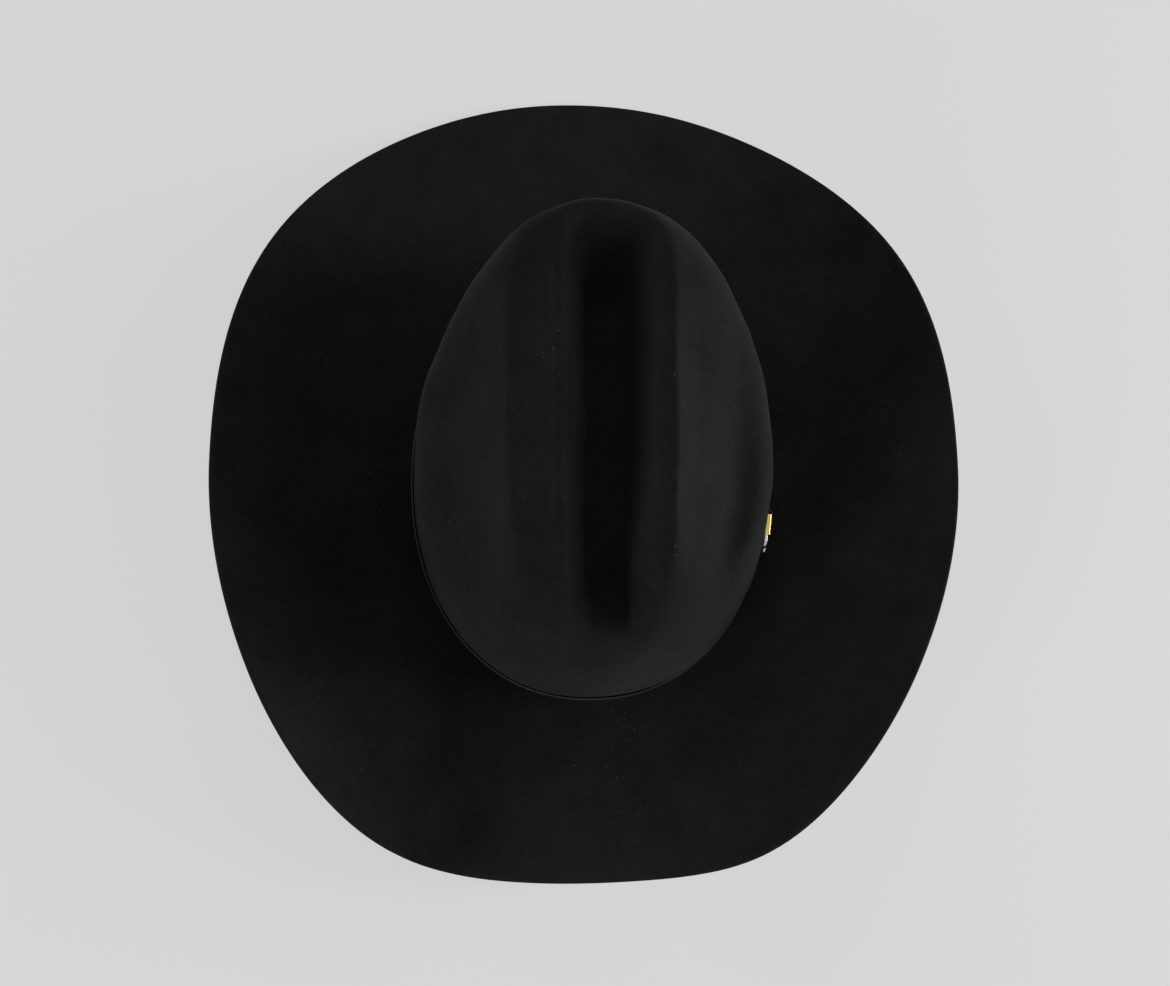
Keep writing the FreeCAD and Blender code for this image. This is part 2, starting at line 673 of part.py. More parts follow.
def strap_line():
    """Middle of the strap as (along, out) places, from the folded end to the tip."""
    keeper_from = KEEPER_PLACE - KEEPER_WIDTH / 2 - KEEPER_TRAVEL
    keeper_to = KEEPER_PLACE + KEEPER_WIDTH / 2 + KEEPER_TRAVEL
    folded = [(HINGE_PLACE, FRAME_LIFT - FOLD_RADIUS), (FOLD_END - 2 * STRAP, STRAP_BASE)]
    start = [(HINGE_PLACE, FRAME_LIFT + FOLD_RADIUS),
             (FOLD_END, STRAP_BASE + STRAP + 2 * SNUG),
             (keeper_from + STRAP_SETTLE, KEPT_BASE), (keeper_to + STRAP_SETTLE, KEPT_BASE),
             (TIP_END, STRAP_BASE)]
    over = FRAME_LIFT + FOLD_RADIUS + LAP
    end = [(FRAME_BAR - FRAME_END, STRAP_BASE),
           (HINGE_PLACE - OVER_HINGE, over), (HINGE_PLACE + OVER_HINGE, over),
           (keeper_from + STRAP_SETTLE, KEPT_BASE + LAP), (keeper_to, KEPT_BASE + LAP),
           (TIP_PLACE, TIP_LIFT)]
    line = []
    for along in [FOLD_END] + steps(FOLD_END, HINGE_PLACE, 5):
        line.append((along, eased(folded, along)))
    for turn in steps(0, 180, 8)[:-1]:
        swing = math.radians(turn)
        line.append((HINGE_PLACE - FOLD_RADIUS * math.sin(swing),
                     FRAME_LIFT - FOLD_RADIUS * math.cos(swing)))
    for along in [HINGE_PLACE] + steps(HINGE_PLACE, TIP_END, 22):
        line.append((along, eased(start, along)))
    for along in steps(TIP_END, GIRTH - 2 * FRAME_END, 64):
        line.append((along, STRAP_BASE))
    for along in steps(-2 * FRAME_END, TIP_END, 44):
        line.append((along + GIRTH, eased(end, along)))
    return line


def strap_side(line, side):
    """One face of the strap, half its thickness from its middle."""
    points = []
    last = len(line) - 1
    for i, (along, out) in enumerate(line):
        before, after = line[max(0, i - 1)], line[min(last, i + 1)]
        run, rise = after[0] - before[0], after[1] - before[1]
        size = math.hypot(run, rise)
        along -= side * STRAP / 2 * rise / size
        out += side * STRAP / 2 * run / size
        point, _, outwards = wall_place(along)
        points.append(point + outwards * out + Vector(0, 0, STRAP_BOTTOM))
    curve = Part.BSplineCurve()
    curve.interpolate(Points=points)
    return curve


def strap_slot(start, end, low, high, width):
    """Block that cuts a slot for the prong, low and high out from the crown."""
    block = Part.makeBox(end - start, width, high - low)
    block.translate(Vector(start - HINGE_PLACE, -width / 2, low))
    return placed(block, HINGE_PLACE)


def make_hat_band():
    line = strap_line()
    one, other = strap_side(line, 1), strap_side(line, -1)
    edges = [one.toShape(), Part.LineSegment(one.EndPoint, other.EndPoint).toShape(),
             other.toShape(), Part.LineSegment(other.StartPoint, one.StartPoint).toShape()]
    outline = Part.Wire(Part.__sortEdges__(edges))
    strap = Part.Face(outline).extrude(Vector(0, 0, STRAP_WIDTH))
    width = PRONG_WIDTH + 2 * SLOT_ROOM
    over_hinge = FRAME_LIFT + FOLD_RADIUS + STRAP / 2 + LAP_GAP / 2
    fold_slot = strap_slot(HINGE_PLACE - 2 * FOLD_RADIUS, HINGE_PLACE + FOLD_SLOT, 0,
                           over_hinge, width)
    tail_slot = strap_slot(HOLE_FRONT, HOLE_BACK, -FELT, 3 * FRAME_LIFT, width)
    return strap.cut([fold_slot, tail_slot])


# ---- buckle set --------------------------------------------------------------------------
FRAME_HALF = STRAP_WIDTH / 2 + FRAME_ROOM + FRAME_BAR      # half height of the buckle frame
FRAME_FRONT = -FRAME_END - HINGE_PLACE                     # its free end, from the hinge bar
FRAME_BACK = FRAME_END - HINGE_PLACE                       # ends of its ears
FRAME_FACE = FRAME_LIFT + FRAME_BAR / 2                    # outer face, out from the crown


def u_outline(front, back, half, radius):
    """Open U with rounded corners at its closed end, as a list of edges from ear to ear."""
    square = math.sqrt(0.5) * radius
    a, b = Vector(back, -half, 0), Vector(front + radius, -half, 0)
    c = Vector(front + radius - square, -half + radius - square, 0)
    d, e = Vector(front, -half + radius, 0), Vector(front, half - radius, 0)
    f = Vector(front + radius - square, half - radius + square, 0)
    g, h = Vector(front + radius, half, 0), Vector(back, half, 0)
    return [Part.LineSegment(a, b), Part.Arc(b, c, d), Part.LineSegment(d, e),
            Part.Arc(e, f, g), Part.LineSegment(g, h)]


def hinge_hole(radius):
    pin = Part.makeCylinder(radius, 2 * FRAME_HALF, Vector(0, -FRAME_HALF, FRAME_LIFT),
                            Vector(0, 1, 0))
    return pin


def make_buckle_frame():
    """Cast frame, open at the hinge end, where its two ears carry the bar."""
    outer = u_outline(FRAME_FRONT, FRAME_BACK, FRAME_HALF, FRAME_CORNER)
    inner = u_outline(FRAME_FRONT + FRAME_BAR, FRAME_BACK, FRAME_HALF - FRAME_BAR,
                      FRAME_CORNER - FRAME_BAR)
    edges = outer + inner
    edges.append(Part.LineSegment(outer[-1].EndPoint, inner[-1].EndPoint))
    edges.append(Part.LineSegment(inner[0].StartPoint, outer[0].StartPoint))
    wire = Part.Wire(Part.__sortEdges__([edge.toShape() for edge in edges]))
    frame = Part.Face(wire).extrude(Vector(0, 0, FRAME_BAR))
    frame.translate(Vector(0, 0, FRAME_LIFT - FRAME_BAR / 2))
    frame = frame.makeFillet(FRAME_BAR / 4, frame.Edges)
    return placed(frame.cut(hinge_hole(HINGE_RADIUS)), HINGE_PLACE)


def make_hinge_bar():
    return placed(hinge_hole(HINGE_RADIUS), HINGE_PLACE)


def make_buckle_trim():
    """Raised trim along each rail, lapping over its edge."""
    edge, inside = FRAME_HALF, FRAME_HALF - FRAME_BAR + TRIM_INSET
    outside = edge + TRIM_LAP
    face, low = FRAME_FACE, FRAME_FACE - TRIM_SKIRT
    corners = [(inside, face), (edge, face), (edge, low), (outside, low), (outside, face),
               ((inside + outside) / 2, face + TRIM_RISE), (inside, face + TRIM_SHOULDER)]
    points = [Vector(FRAME_BACK - TRIM_LENGTH, across, out) for across, out in corners]
    lines = [Part.LineSegment(p, q) for p, q in zip(points[:4], points[1:5])]
    lines.append(Part.Arc(*points[4:7]))
    lines.append(Part.LineSegment(points[6], points[0]))
    profile = Part.Face(Part.Wire([line.toShape() for line in lines]))
    upper = profile.extrude(Vector(TRIM_LENGTH, 0, 0))
    lower = upper.mirror(Vector(0, 0, 0), Vector(0, 1, 0))
    return placed(Part.makeCompound([upper, lower]), HINGE_PLACE)


def make_buckle_prong():
    """Loop round the hinge bar and a tongue whose tip hooks over the free end of the frame."""
    bore = HINGE_RADIUS + PRONG_PLAY
    eye = bore + PRONG_EYE
    low = FRAME_BAR / 2 + 2 * SNUG
    high = low + PRONG
    tip = FRAME_FRONT - PRONG_REACH
    corners = [(0, bore), (-eye, low), (FRAME_FRONT, low), (tip, low - PRONG_HOOK),
               (tip, high - PRONG / 2), (FRAME_FRONT + PRONG, high), (-2 * eye, high), (0, eye)]
    points = [Vector(x, y, 0) for x, y in corners]
    tongue = Part.Face(Part.makePolygon(points + points[:1])).extrude(Vector(0, 0, PRONG_WIDTH))
    prong = Part.makeCylinder(eye, PRONG_WIDTH).fuse(tongue)
    prong = prong.cut(Part.makeCylinder(bore, PRONG_WIDTH))
    prong.rotate(Vector(0, 0, 0), Vector(1, 0, 0), 90)
    prong.translate(Vector(0, PRONG_WIDTH / 2, FRAME_LIFT))
    return placed(prong, HINGE_PLACE)


def make_band_keeper():
    """Leather loop round both layers of the strap."""
    room = Vector(KEEPER_WIDTH, STRAP_WIDTH + 2 * KEEPER_ROOM, 2 * STRAP + LAP_GAP + 2 * KEEPER_ROOM)
    inner = Part.makeBox(room.x, room.y, room.z)
    inner.translate(Vector(-room.x / 2, -room.y / 2, GAP + KEEPER))
    outer = Part.makeBox(room.x, room.y + 2 * KEEPER, room.z + 2 * KEEPER)
    outer.translate(Vector(-room.x / 2, -room.y / 2 - KEEPER, GAP))
    long_edges = [e for e in outer.Edges if abs(e.Length - KEEPER_WIDTH) < 1e-6]
    outer = outer.makeFillet(KEEPER / 2, long_edges)
    return placed(outer.cut(inner), KEEPER_PLACE)


def make_band_tip():
    """Metal cap on the end of the strap, with a rounded point."""
    half = STRAP_WIDTH / 2 + TIP_ROOM + TIP_WALL
    thick = STRAP + 2 * TIP_ROOM + 2 * TIP_WALL
    outline = u_outline(-TIP_LENGTH, 0, half, TIP_CORNER)
    outline.append(Part.LineSegment(outline[-1].EndPoint, outline[0].StartPoint))
    cap = Part.Face(Part.Wire([edge.toShape() for edge in outline])).extrude(Vector(0, 0, thick))
    cap = cap.makeFillet(TIP_WALL / 2, [e for e in cap.Edges if e.CenterOfMass.z > thick - 1e-6])
    pocket = Part.makeBox(TIP_COVER + TIP_ROOM, STRAP_WIDTH + 2 * TIP_ROOM, STRAP + 2 * TIP_ROOM)
    pocket.translate(Vector(-TIP_COVER - TIP_ROOM, -STRAP_WIDTH / 2 - TIP_ROOM, TIP_WALL))
    cap = cap.cut(pocket)
    cap = cap.mirror(Vector(0, 0, 0), Vector(1, 0, 0))
    cap.translate(Vector(-TIP_COVER / 2, 0, TIP_LIFT - thick / 2))
    return placed(cap, TIP_PLACE + TIP_COVER / 2)


# ---- the hat -----------------------------------------------------------------------------
MAKERS = {
    "felt_body": make_felt_body,
    "sweatband": make_sweatband,
    "sweatband_reed": make_sweatband_reed,
    "reed_tape": make_reed_tape,
    "sweatband_seam": make_sweatband_seam,
    "sweatband_bow": make_sweatband_bow,
    "lining_tip": make_lining_tip,
    "lining_side": make_lining_side,
    "lining_piping": make_lining_piping,
    "hat_band": make_hat_band,
    "buckle_frame": make_buckle_frame,
    "hinge_bar": make_hinge_bar,
    "buckle_trim": make_buckle_trim,
    "buckle_prong": make_buckle_prong,
    "band_keeper": make_band_keeper,
    "band_tip": make_band_tip,
}


def stand():
    """Placement on a table: the hat rests on its front and back dips, over the origin."""
    points = [brim_edge(a, share) for a in ANGLES for share in (0.25, 0.75)]
    tilt = 0.0
    for _ in range(8):
        turn = FreeCAD.Rotation(Vector(1, 0, 0), tilt)
        turned = [turn.multVec(point) for point in points]
        front = min((point for point in turned if point.y < 0), key=lambda point: point.z)
        back = min((point for point in turned if point.y > 0), key=lambda point: point.z)
        tilt -= math.degrees(math.atan2(back.z - front.z, back.y - front.y))
    xs, ys, zs = ([getattr(p, axis) for p in turned] for axis in ("x", "y", "z"))
    middle = Vector((min(xs) + max(xs)) / 2, (min(ys) + max(ys)) / 2, min(zs))
    return FreeCAD.Placement(middle * -1, turn)


def main():
    os.makedirs("parts", exist_ok=True)
    standing = stand()
    for name, make in MAKERS.items():
        shape = make().transformed(standing.toMatrix(), copy=True)
        shape.exportStep("parts/" + name + ".step")
        print(name, len(shape.Solids), "solid, volume", round(shape.Volume, 1),
              "valid" if shape.isValid() else "NOT VALID")
    report(standing)


def report(standing):
    """Print the places that the record of the part needs."""
    def told(vector, digits=3):
        return [round(value, digits) for value in vector]

    for name, along, lift in (("hinge", HINGE_PLACE, FRAME_LIFT), ("keeper", KEEPER_PLACE, 0)):
        point = wall_frame(along).multVec(Vector(0, 0, lift))
        run = standing.Rotation.multVec(wall_place(along)[1])
        print(name, told(standing.multVec(point)), "run", told(run, 5))
    print("up the wall", told(standing.Rotation.multVec(Vector(0, 0, 1)), 5))
    print("middle of the break", told(standing.multVec(Vector(0, 0, 0))))


main()
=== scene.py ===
# %% [markdown]
# # A western felt hat
#
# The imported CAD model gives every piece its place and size. This lesson gives the pieces their
# looks: fine felt with a short nap, sweatband leather, satin lining, a black strap with its
# buckle set, and the stitches that hold them. Soft pieces are made again here as smooth skins
# from the same rules as their solids. Hard pieces keep their CAD mesh and get better materials.

# %% Load the frame
import json
import math
import bmesh
import bpy
import numpy as np
from mathutils import Matrix, Vector

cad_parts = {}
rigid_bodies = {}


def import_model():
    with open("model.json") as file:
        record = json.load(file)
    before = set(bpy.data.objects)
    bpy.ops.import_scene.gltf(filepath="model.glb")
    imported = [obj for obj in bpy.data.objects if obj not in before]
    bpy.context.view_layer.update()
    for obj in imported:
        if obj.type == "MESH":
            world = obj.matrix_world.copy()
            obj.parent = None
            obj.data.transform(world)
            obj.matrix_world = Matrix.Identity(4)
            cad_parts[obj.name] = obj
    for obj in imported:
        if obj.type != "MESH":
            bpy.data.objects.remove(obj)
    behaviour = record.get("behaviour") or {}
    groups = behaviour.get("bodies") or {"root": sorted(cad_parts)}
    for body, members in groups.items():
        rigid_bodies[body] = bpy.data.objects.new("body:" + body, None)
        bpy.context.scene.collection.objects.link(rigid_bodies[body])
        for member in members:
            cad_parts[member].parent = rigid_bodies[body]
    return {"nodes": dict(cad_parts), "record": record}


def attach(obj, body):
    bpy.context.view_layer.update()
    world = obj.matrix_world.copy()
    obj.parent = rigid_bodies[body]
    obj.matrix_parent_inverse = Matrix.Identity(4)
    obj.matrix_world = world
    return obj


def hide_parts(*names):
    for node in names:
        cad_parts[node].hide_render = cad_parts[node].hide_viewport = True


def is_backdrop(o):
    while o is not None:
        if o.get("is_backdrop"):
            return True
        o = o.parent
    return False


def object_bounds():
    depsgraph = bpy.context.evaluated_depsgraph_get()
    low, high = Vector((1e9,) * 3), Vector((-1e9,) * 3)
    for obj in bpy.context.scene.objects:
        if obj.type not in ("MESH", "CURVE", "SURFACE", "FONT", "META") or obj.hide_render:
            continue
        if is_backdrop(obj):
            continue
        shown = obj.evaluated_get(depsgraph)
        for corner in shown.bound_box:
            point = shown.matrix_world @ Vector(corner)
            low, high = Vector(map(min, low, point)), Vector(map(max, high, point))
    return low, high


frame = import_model()
cad_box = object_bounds()
record = frame["record"]

# %% [markdown]
# ## Where the hat stands
#
# The hat is easiest to describe about its brim break, the line where the crown wall meets the
# brim. There the wall is upright and the middle is at zero. On the table the hat leans a few
# degrees, because it rests on its front and back dips. The head opening of the record tells us
# that lean and the place of the middle, so one small function can turn break millimetres into
# table metres. Objects stay at the origin and carry their place in their mesh.

# %% From break millimetres to table metres
mouth = record["mounts"][0]
MIDDLE = np.array(mouth["pos_m"])
LEAN = math.atan2(mouth["axis"][1], -mouth["axis"][2])


def turned(vectors):
    """Directions about the break, turned with the leaning hat."""
    x, y, z = np.asarray(vectors, dtype=float).reshape(-1, 3).T
    cosine, sine = math.cos(LEAN), math.sin(LEAN)
    return np.column_stack([x, y * cosine - z * sine, y * sine + z * cosine])


def on_table(points):
    return turned(np.asarray(points, dtype=float) / 1000) + MIDDLE


print("the hat leans %.2f degrees" % math.degrees(LEAN))

# %% [markdown]
# ## The rule of the felt
#
# A hatter pulls one cone of felt over an oval block, creases the crown by hand and rolls the
# brim. It could be sculpted, but a crown like this follows a rule: a blocked dome, less a centre
# crease, less two side dents, and a flat oval brim that is rolled about its length. A rule gives
# clean, even rings of points, and every other soft piece can be laid inside the same felt.

# %% Sizes of the felt, in millimetres
HEAD_LENGTH, HEAD_WIDTH, OVAL_POWER, FELT, BREAK_RADIUS = 203.0, 165.0, 2.15, 2.5, 3.0
CROWN_HEIGHT, CROWN_SLOPE, WALL_POWER = 114.0, 0.05, 2.4
SIDE_FULLNESS, BACK_FULLNESS, FRONT_FULLNESS = 3.2, 4.4, 5.5
LEAN_START, LEAN_HEIGHT, LEAN_CURVE, CROWN_LEAN, BACK_FLARE = 18.0, 90.0, 1.5, 22.0, 14.0
CREASE_DEPTH, CREASE_OFFSET, CREASE_FLOOR = 37.0, 1.0, 3.0
CREASE_FLOOR_RADIUS, CREASE_RIDGE_RADIUS, CREASE_WALL_ANGLE = 7.0, 9.0, 71.0
CREASE_FRONT, CREASE_BACK = (62.0, 104.0), (48.0, 82.0)
DENT_DEPTH, DENT_PLACE_LEFT, DENT_PLACE_RIGHT = 23.0, 58.0, 64.0
RIDGE_RIGHT, RIDGE_FOOT, FLANK, RIDGE_TILT = 42.0, 38.0, 0.55, 6.0
DENT_OUTER, DENT_DEEPEST = 24.0, -38.0
DENT_FRONT, DENT_BACK, DENT_LOW, DENT_HIGH = -88.0, 88.0, 24.0, 74.0
EDGE_POWER, FOOT_POWER, OUTER_POWER, TILT_FROM, TILT_FULL = 1.2, 1.3, 2.6, 9.0, 22.0
BRIM_WIDTH, ROLL_START, ROLL_SOFTNESS = 101.6, 90.0, 25.0
ROLL_RADIUS_LEFT, ROLL_RADIUS_RIGHT, ROLL_LIMIT, ROLL_CURVE = 87.0, 102.5, 115.0, 1.5
ROLL_REACH, ROLL_IN_FRONT, ROLL_IN_BACK = 200.0, 82.0, 19.0
ROLL_TIGHTER_FRONT_LEFT, ROLL_TIGHTER_FRONT_RIGHT, ROLL_TIGHTER_BACK = 0.45, 0.17, -0.52
DIP_START, DIP_RADIUS_FRONT, DIP_RADIUS_BACK, EDGE_ROUND = 90.0, 182.0, 625.0, 1.1
RING_STRETCH, RING_POWER, ROLL_STEPS, NUDGE, TURN = 0.3, 4.0, 24, 0.004, 0.006
OVAL_A, OVAL_B = HEAD_LENGTH / 2 + FELT, HEAD_WIDTH / 2 + FELT
FLOOR_STATION = 1 - (1 - CREASE_FLOOR / OVAL_B) ** (1 / WALL_POWER)
COLUMNS = 240
ANGLES = np.arange(COLUMNS) * 2 * math.pi / COLUMNS

# %% Ovals, fades and the crown


def ease(t):
    t = np.clip(t, 0.0, 1.0)
    return t * t * t * (10 - 15 * t + 6 * t * t)


def between(t, low, high):
    return low + (high - low) * t


def oval_ring(half_width, half_length, power, angle):
    cosine, sine = np.cos(angle), np.sin(angle)
    reach = (np.abs(cosine) ** power + np.abs(sine) ** power) ** (-1 / power)
    return half_width * cosine * reach, half_length * sine * reach


def oval_point(angle):
    return np.stack(oval_ring(OVAL_B, OVAL_A, OVAL_POWER, angle), -1)


def oval(angle, growth):
    """Foot of the crown wall, moved outwards by growth."""
    run = oval_point(angle + TURN) - oval_point(angle - TURN)
    out = np.stack([run[..., 1], -run[..., 0]], -1)
    return oval_point(angle) + out / np.linalg.norm(out, axis=-1, keepdims=True) * growth


def crease_lines():
    """Distances from the middle of the crease to its floor arc's end, wall top and ridge."""
    angle = math.radians(CREASE_WALL_ANGLE)
    rise = CREASE_DEPTH - (CREASE_FLOOR_RADIUS + CREASE_RIDGE_RADIUS) * (1 - math.cos(angle))
    floor_arc = CREASE_FLOOR + CREASE_FLOOR_RADIUS * math.sin(angle)
    wall_top = floor_arc + rise / math.tan(angle)
    return floor_arc, wall_top, wall_top + CREASE_RIDGE_RADIUS * math.sin(angle)


def crease_drop(x):
    """Depth of the centre crease: flat floor, arc, straight wall, arc."""
    angle = math.radians(CREASE_WALL_ANGLE)
    low, high = CREASE_FLOOR_RADIUS, CREASE_RIDGE_RADIUS
    floor_arc, wall_top, ridge = crease_lines()
    out = np.abs(x - CREASE_OFFSET)
    floor = CREASE_DEPTH - low + np.sqrt(np.maximum(low ** 2 - (out - CREASE_FLOOR) ** 2, 0))
    wall = high * (1 - math.cos(angle)) + (wall_top - out) * math.tan(angle)
    top = high - np.sqrt(np.maximum(high ** 2 - (ridge - out) ** 2, 0))
    return np.select([out < CREASE_FLOOR, out < floor_arc, out < wall_top, out < ridge],
                     [CREASE_DEPTH, floor, wall, top], 0.0)


def ridge_tilt(x):
    """Extra drop of the right ridge, which leans in towards the crease."""
    return np.interp(-x, [TILT_FROM, TILT_FULL, RIDGE_RIGHT + 1], [0, RIDGE_TILT, 0])


def dent_drop(x, y):
    """Depth of a side dent: a crisp edge at the right ridge, a crisp foot at the left one."""
    squeeze = (1 - np.clip(np.abs(y) / OVAL_A, 0, 0.98) ** OVAL_POWER) ** (1 / OVAL_POWER)
    out, place = np.abs(x), squeeze * np.where(x > 0, DENT_PLACE_LEFT, DENT_PLACE_RIGHT)
    ridge, foot = ((1 + squeeze) / 2 * size for size in (RIDGE_RIGHT, RIDGE_FOOT))
    falling = np.clip(1 - ((out - place) / (place - ridge)) ** 2, 0, 1) ** EDGE_POWER
    crest = crease_lines()[2]
    flank = np.clip((out - crest) / (foot - crest), 0, 1)
    floor = 1 - (1 - np.clip((out - foot) / (place - foot), 0, 1)) ** FOOT_POWER
    outer = np.clip(1 - ((out - place) / (squeeze * DENT_OUTER)) ** 2, 0, 1) ** OUTER_POWER
    inner = np.where(x > 0, between(floor, FLANK, 1) * flank, falling)
    across = np.where(out > place, outer, inner)
    length = np.where(y < DENT_DEEPEST,
                      ease((y - DENT_FRONT) / (DENT_DEEPEST - DENT_FRONT)),
                      ease((DENT_BACK - y) / (DENT_BACK - DENT_DEEPEST)))
    return DENT_DEPTH * across * length


def crown_plan(share, angle):
    """Rings seen from above: long and narrow along the crease, the oval at the wall."""
    wide = 1 - (1 - share) ** WALL_POWER
    floor = CREASE_FLOOR / OVAL_B
    inside = floor ** RING_STRETCH * wide / floor
    long = np.where(wide < floor, inside, np.maximum(wide, 1e-9) ** RING_STRETCH)
    return oval_ring(OVAL_B * wide, OVAL_A * long, between(wide, RING_POWER, OVAL_POWER), angle)


def crown_point(share, angle):
    """Outer felt of the crown: share 0 is the middle of the top and 1 the break."""
    x, y = crown_plan(share, angle)
    across, along = np.abs(x / OVAL_B), np.abs(y / OVAL_A)
    out = (across ** OVAL_POWER + along ** OVAL_POWER) ** (1 / OVAL_POWER)
    ends = along ** 2 / (across ** 2 + along ** 2 + 1e-12)
    fullness = between(ends, SIDE_FULLNESS, np.where(y > 0, BACK_FULLNESS, FRONT_FULLNESS))
    dome = np.maximum(0, 1 - out ** fullness) ** (1 / WALL_POWER)
    blocked = (CROWN_HEIGHT + CROWN_SLOPE * y) * dome
    full, none = (np.where(y > 0, CREASE_BACK[i], CREASE_FRONT[i]) for i in (0, 1))
    lengthwise = 1 - ease((np.abs(y) - full) / (none - full))
    dented = ease((blocked - DENT_LOW) / (DENT_HIGH - DENT_LOW))
    z = BREAK_RADIUS + blocked - (crease_drop(x) + ridge_tilt(x)) * lengthwise
    z = z - dent_drop(x, y) * dented
    rise = np.maximum(0, (z - LEAN_START) / LEAN_HEIGHT) ** LEAN_CURVE
    lean = (CROWN_LEAN + BACK_FLARE * (np.maximum(0, y) / OVAL_A) ** 2) * rise
    return np.stack(np.broadcast_arrays(x, y + lean, z), -1)


print("ridges %.1f mm either side of the crease" % crease_lines()[2])

# %% The brim, and the felt as one sheet


def rolled(x, y):
    """Where a point of the flat brim goes when the brim is rolled and dipped."""
    front = np.maximum(0, -y / ROLL_REACH) ** ROLL_CURVE
    back = np.maximum(0, y / ROLL_REACH) ** ROLL_CURVE
    start = ROLL_START - ROLL_IN_FRONT * front - ROLL_IN_BACK * back
    tighter = np.where(x > 0, ROLL_TIGHTER_FRONT_LEFT, ROLL_TIGHTER_FRONT_RIGHT)
    radius = np.where(x > 0, ROLL_RADIUS_LEFT, ROLL_RADIUS_RIGHT)
    bend = (1 + tighter * front + ROLL_TIGHTER_BACK * back) / radius

    def slope(out):
        past = out - start
        return bend * 0.5 * (past + np.hypot(past, ROLL_SOFTNESS))

    step = np.abs(x) / ROLL_STEPS
    across, up = np.zeros_like(x), np.zeros_like(x)
    for i in range(ROLL_STEPS):
        turn = np.minimum(slope((i + 0.5) * step) - slope(0.0), math.radians(ROLL_LIMIT))
        across = across + step * np.cos(turn)
        up = up + step * np.sin(turn)
    dip = np.maximum(0, np.abs(y) - DIP_START)
    dip_radius = np.where(y > 0, DIP_RADIUS_BACK, DIP_RADIUS_FRONT)
    length = np.abs(y) - dip + dip_radius * np.sin(dip / dip_radius)
    down = dip_radius * (1 - np.cos(dip / dip_radius))
    return np.stack([np.copysign(across, x), np.copysign(length, y), up - down], -1)


def brim_point(out, angle):
    """Top of the brim, out mm from the wall; the break itself is kept level."""
    flat, foot = oval(angle, out), oval_point(angle)
    level = np.concatenate([foot, np.zeros(foot.shape[:-1] + (1,))], -1)
    kept = (1 - out / BRIM_WIDTH) ** 2
    return rolled(flat[..., 0], flat[..., 1]) - (rolled(foot[..., 0], foot[..., 1]) - level) * kept


def felt_point(station, angle):
    """Outer felt: stations 0 to 1 are the crown, 1 to 2 the break, 2 to 3 the brim."""
    if station <= 1:
        return crown_point(station, angle)
    if station <= 2:
        turn = (station - 1) * math.pi / 2
        rise = np.array([0, 0, BREAK_RADIUS * (1 - math.sin(turn))])
        return brim_point(BREAK_RADIUS * (1 - math.cos(turn)), angle) + rise
    return brim_point(between(station - 2, BREAK_RADIUS, BRIM_WIDTH), angle)


def unit(vectors):
    return vectors / np.linalg.norm(vectors, axis=-1, keepdims=True)


def felt_normal(station, angle):
    near, far = station - NUDGE, min(station + NUDGE, 3.0)
    radial = felt_point(far, angle) - felt_point(near, angle)
    round_it = felt_point(station, angle + TURN) - felt_point(station, angle - TURN)
    return unit(np.cross(radial, round_it))


def felt_inside(station, depth, angle=ANGLES):
    """Ring at a depth under the outer felt."""
    if station > FLOOR_STATION:
        return felt_point(station, angle) - felt_normal(station, angle) * depth
    plan = np.stack(crown_plan(station, angle), -1)
    middle = crown_point(0.0, 0.0)
    tilt = unit(np.array([0, -CROWN_SLOPE, 1.0]))
    lift = np.concatenate([plan, CROWN_SLOPE * plan[..., 1:]], -1)
    return middle + lift - tilt * depth


def steps(low, high, count):
    return [low + (high - low) * i / count for i in range(1, count + 1)]


def station_at(width):
    """Station of the ring that is this far from the middle line."""
    return 1 - (1 - width / OVAL_B) ** (1 / WALL_POWER)


def crown_stations(floor, crease, dents, wall):
    ridge = crease_lines()[2]
    lip = (DENT_PLACE_LEFT + DENT_PLACE_RIGHT) / 2 + DENT_OUTER / 2
    widths = steps(0, CREASE_FLOOR, floor) + steps(CREASE_FLOOR, ridge, crease)
    stations = [station_at(width) for width in widths + steps(ridge, lip, dents)]
    return stations + steps(stations[-1], 1, wall)


print("top of the crown %.1f mm above the break" % crown_point(station_at(25), ANGLES)[:, 2].max())

# %% [markdown]
# ## Skins from rings
#
# Every soft piece of the hat is a sleeve of rings. A lofted curve surface would do it, but plain
# quads from ring to ring are easier to control: the rings can be closed with a fan at a pole, or
# joined last to first, and each gets a UV map in real metres, so that a weave keeps its size.

# %% A helper that skins rings


def placed(name, data):
    """New object of a mesh, lamp or camera, linked to the scene."""
    piece = bpy.data.objects.new(name, data)
    bpy.context.collection.objects.link(piece)
    return piece


def new_mesh(name, points, edges=(), faces=()):
    mesh = bpy.data.meshes.new(name)
    mesh.from_pydata([tuple(point) for point in points], edges, faces)
    return mesh


def signed_volume(points, faces):
    total = 0.0
    for face in faces:
        for i in range(1, len(face) - 1):
            a, b, c = points[face[0]], points[face[i]], points[face[i + 1]]
            total += np.dot(a, np.cross(b, c))
    return total / 6


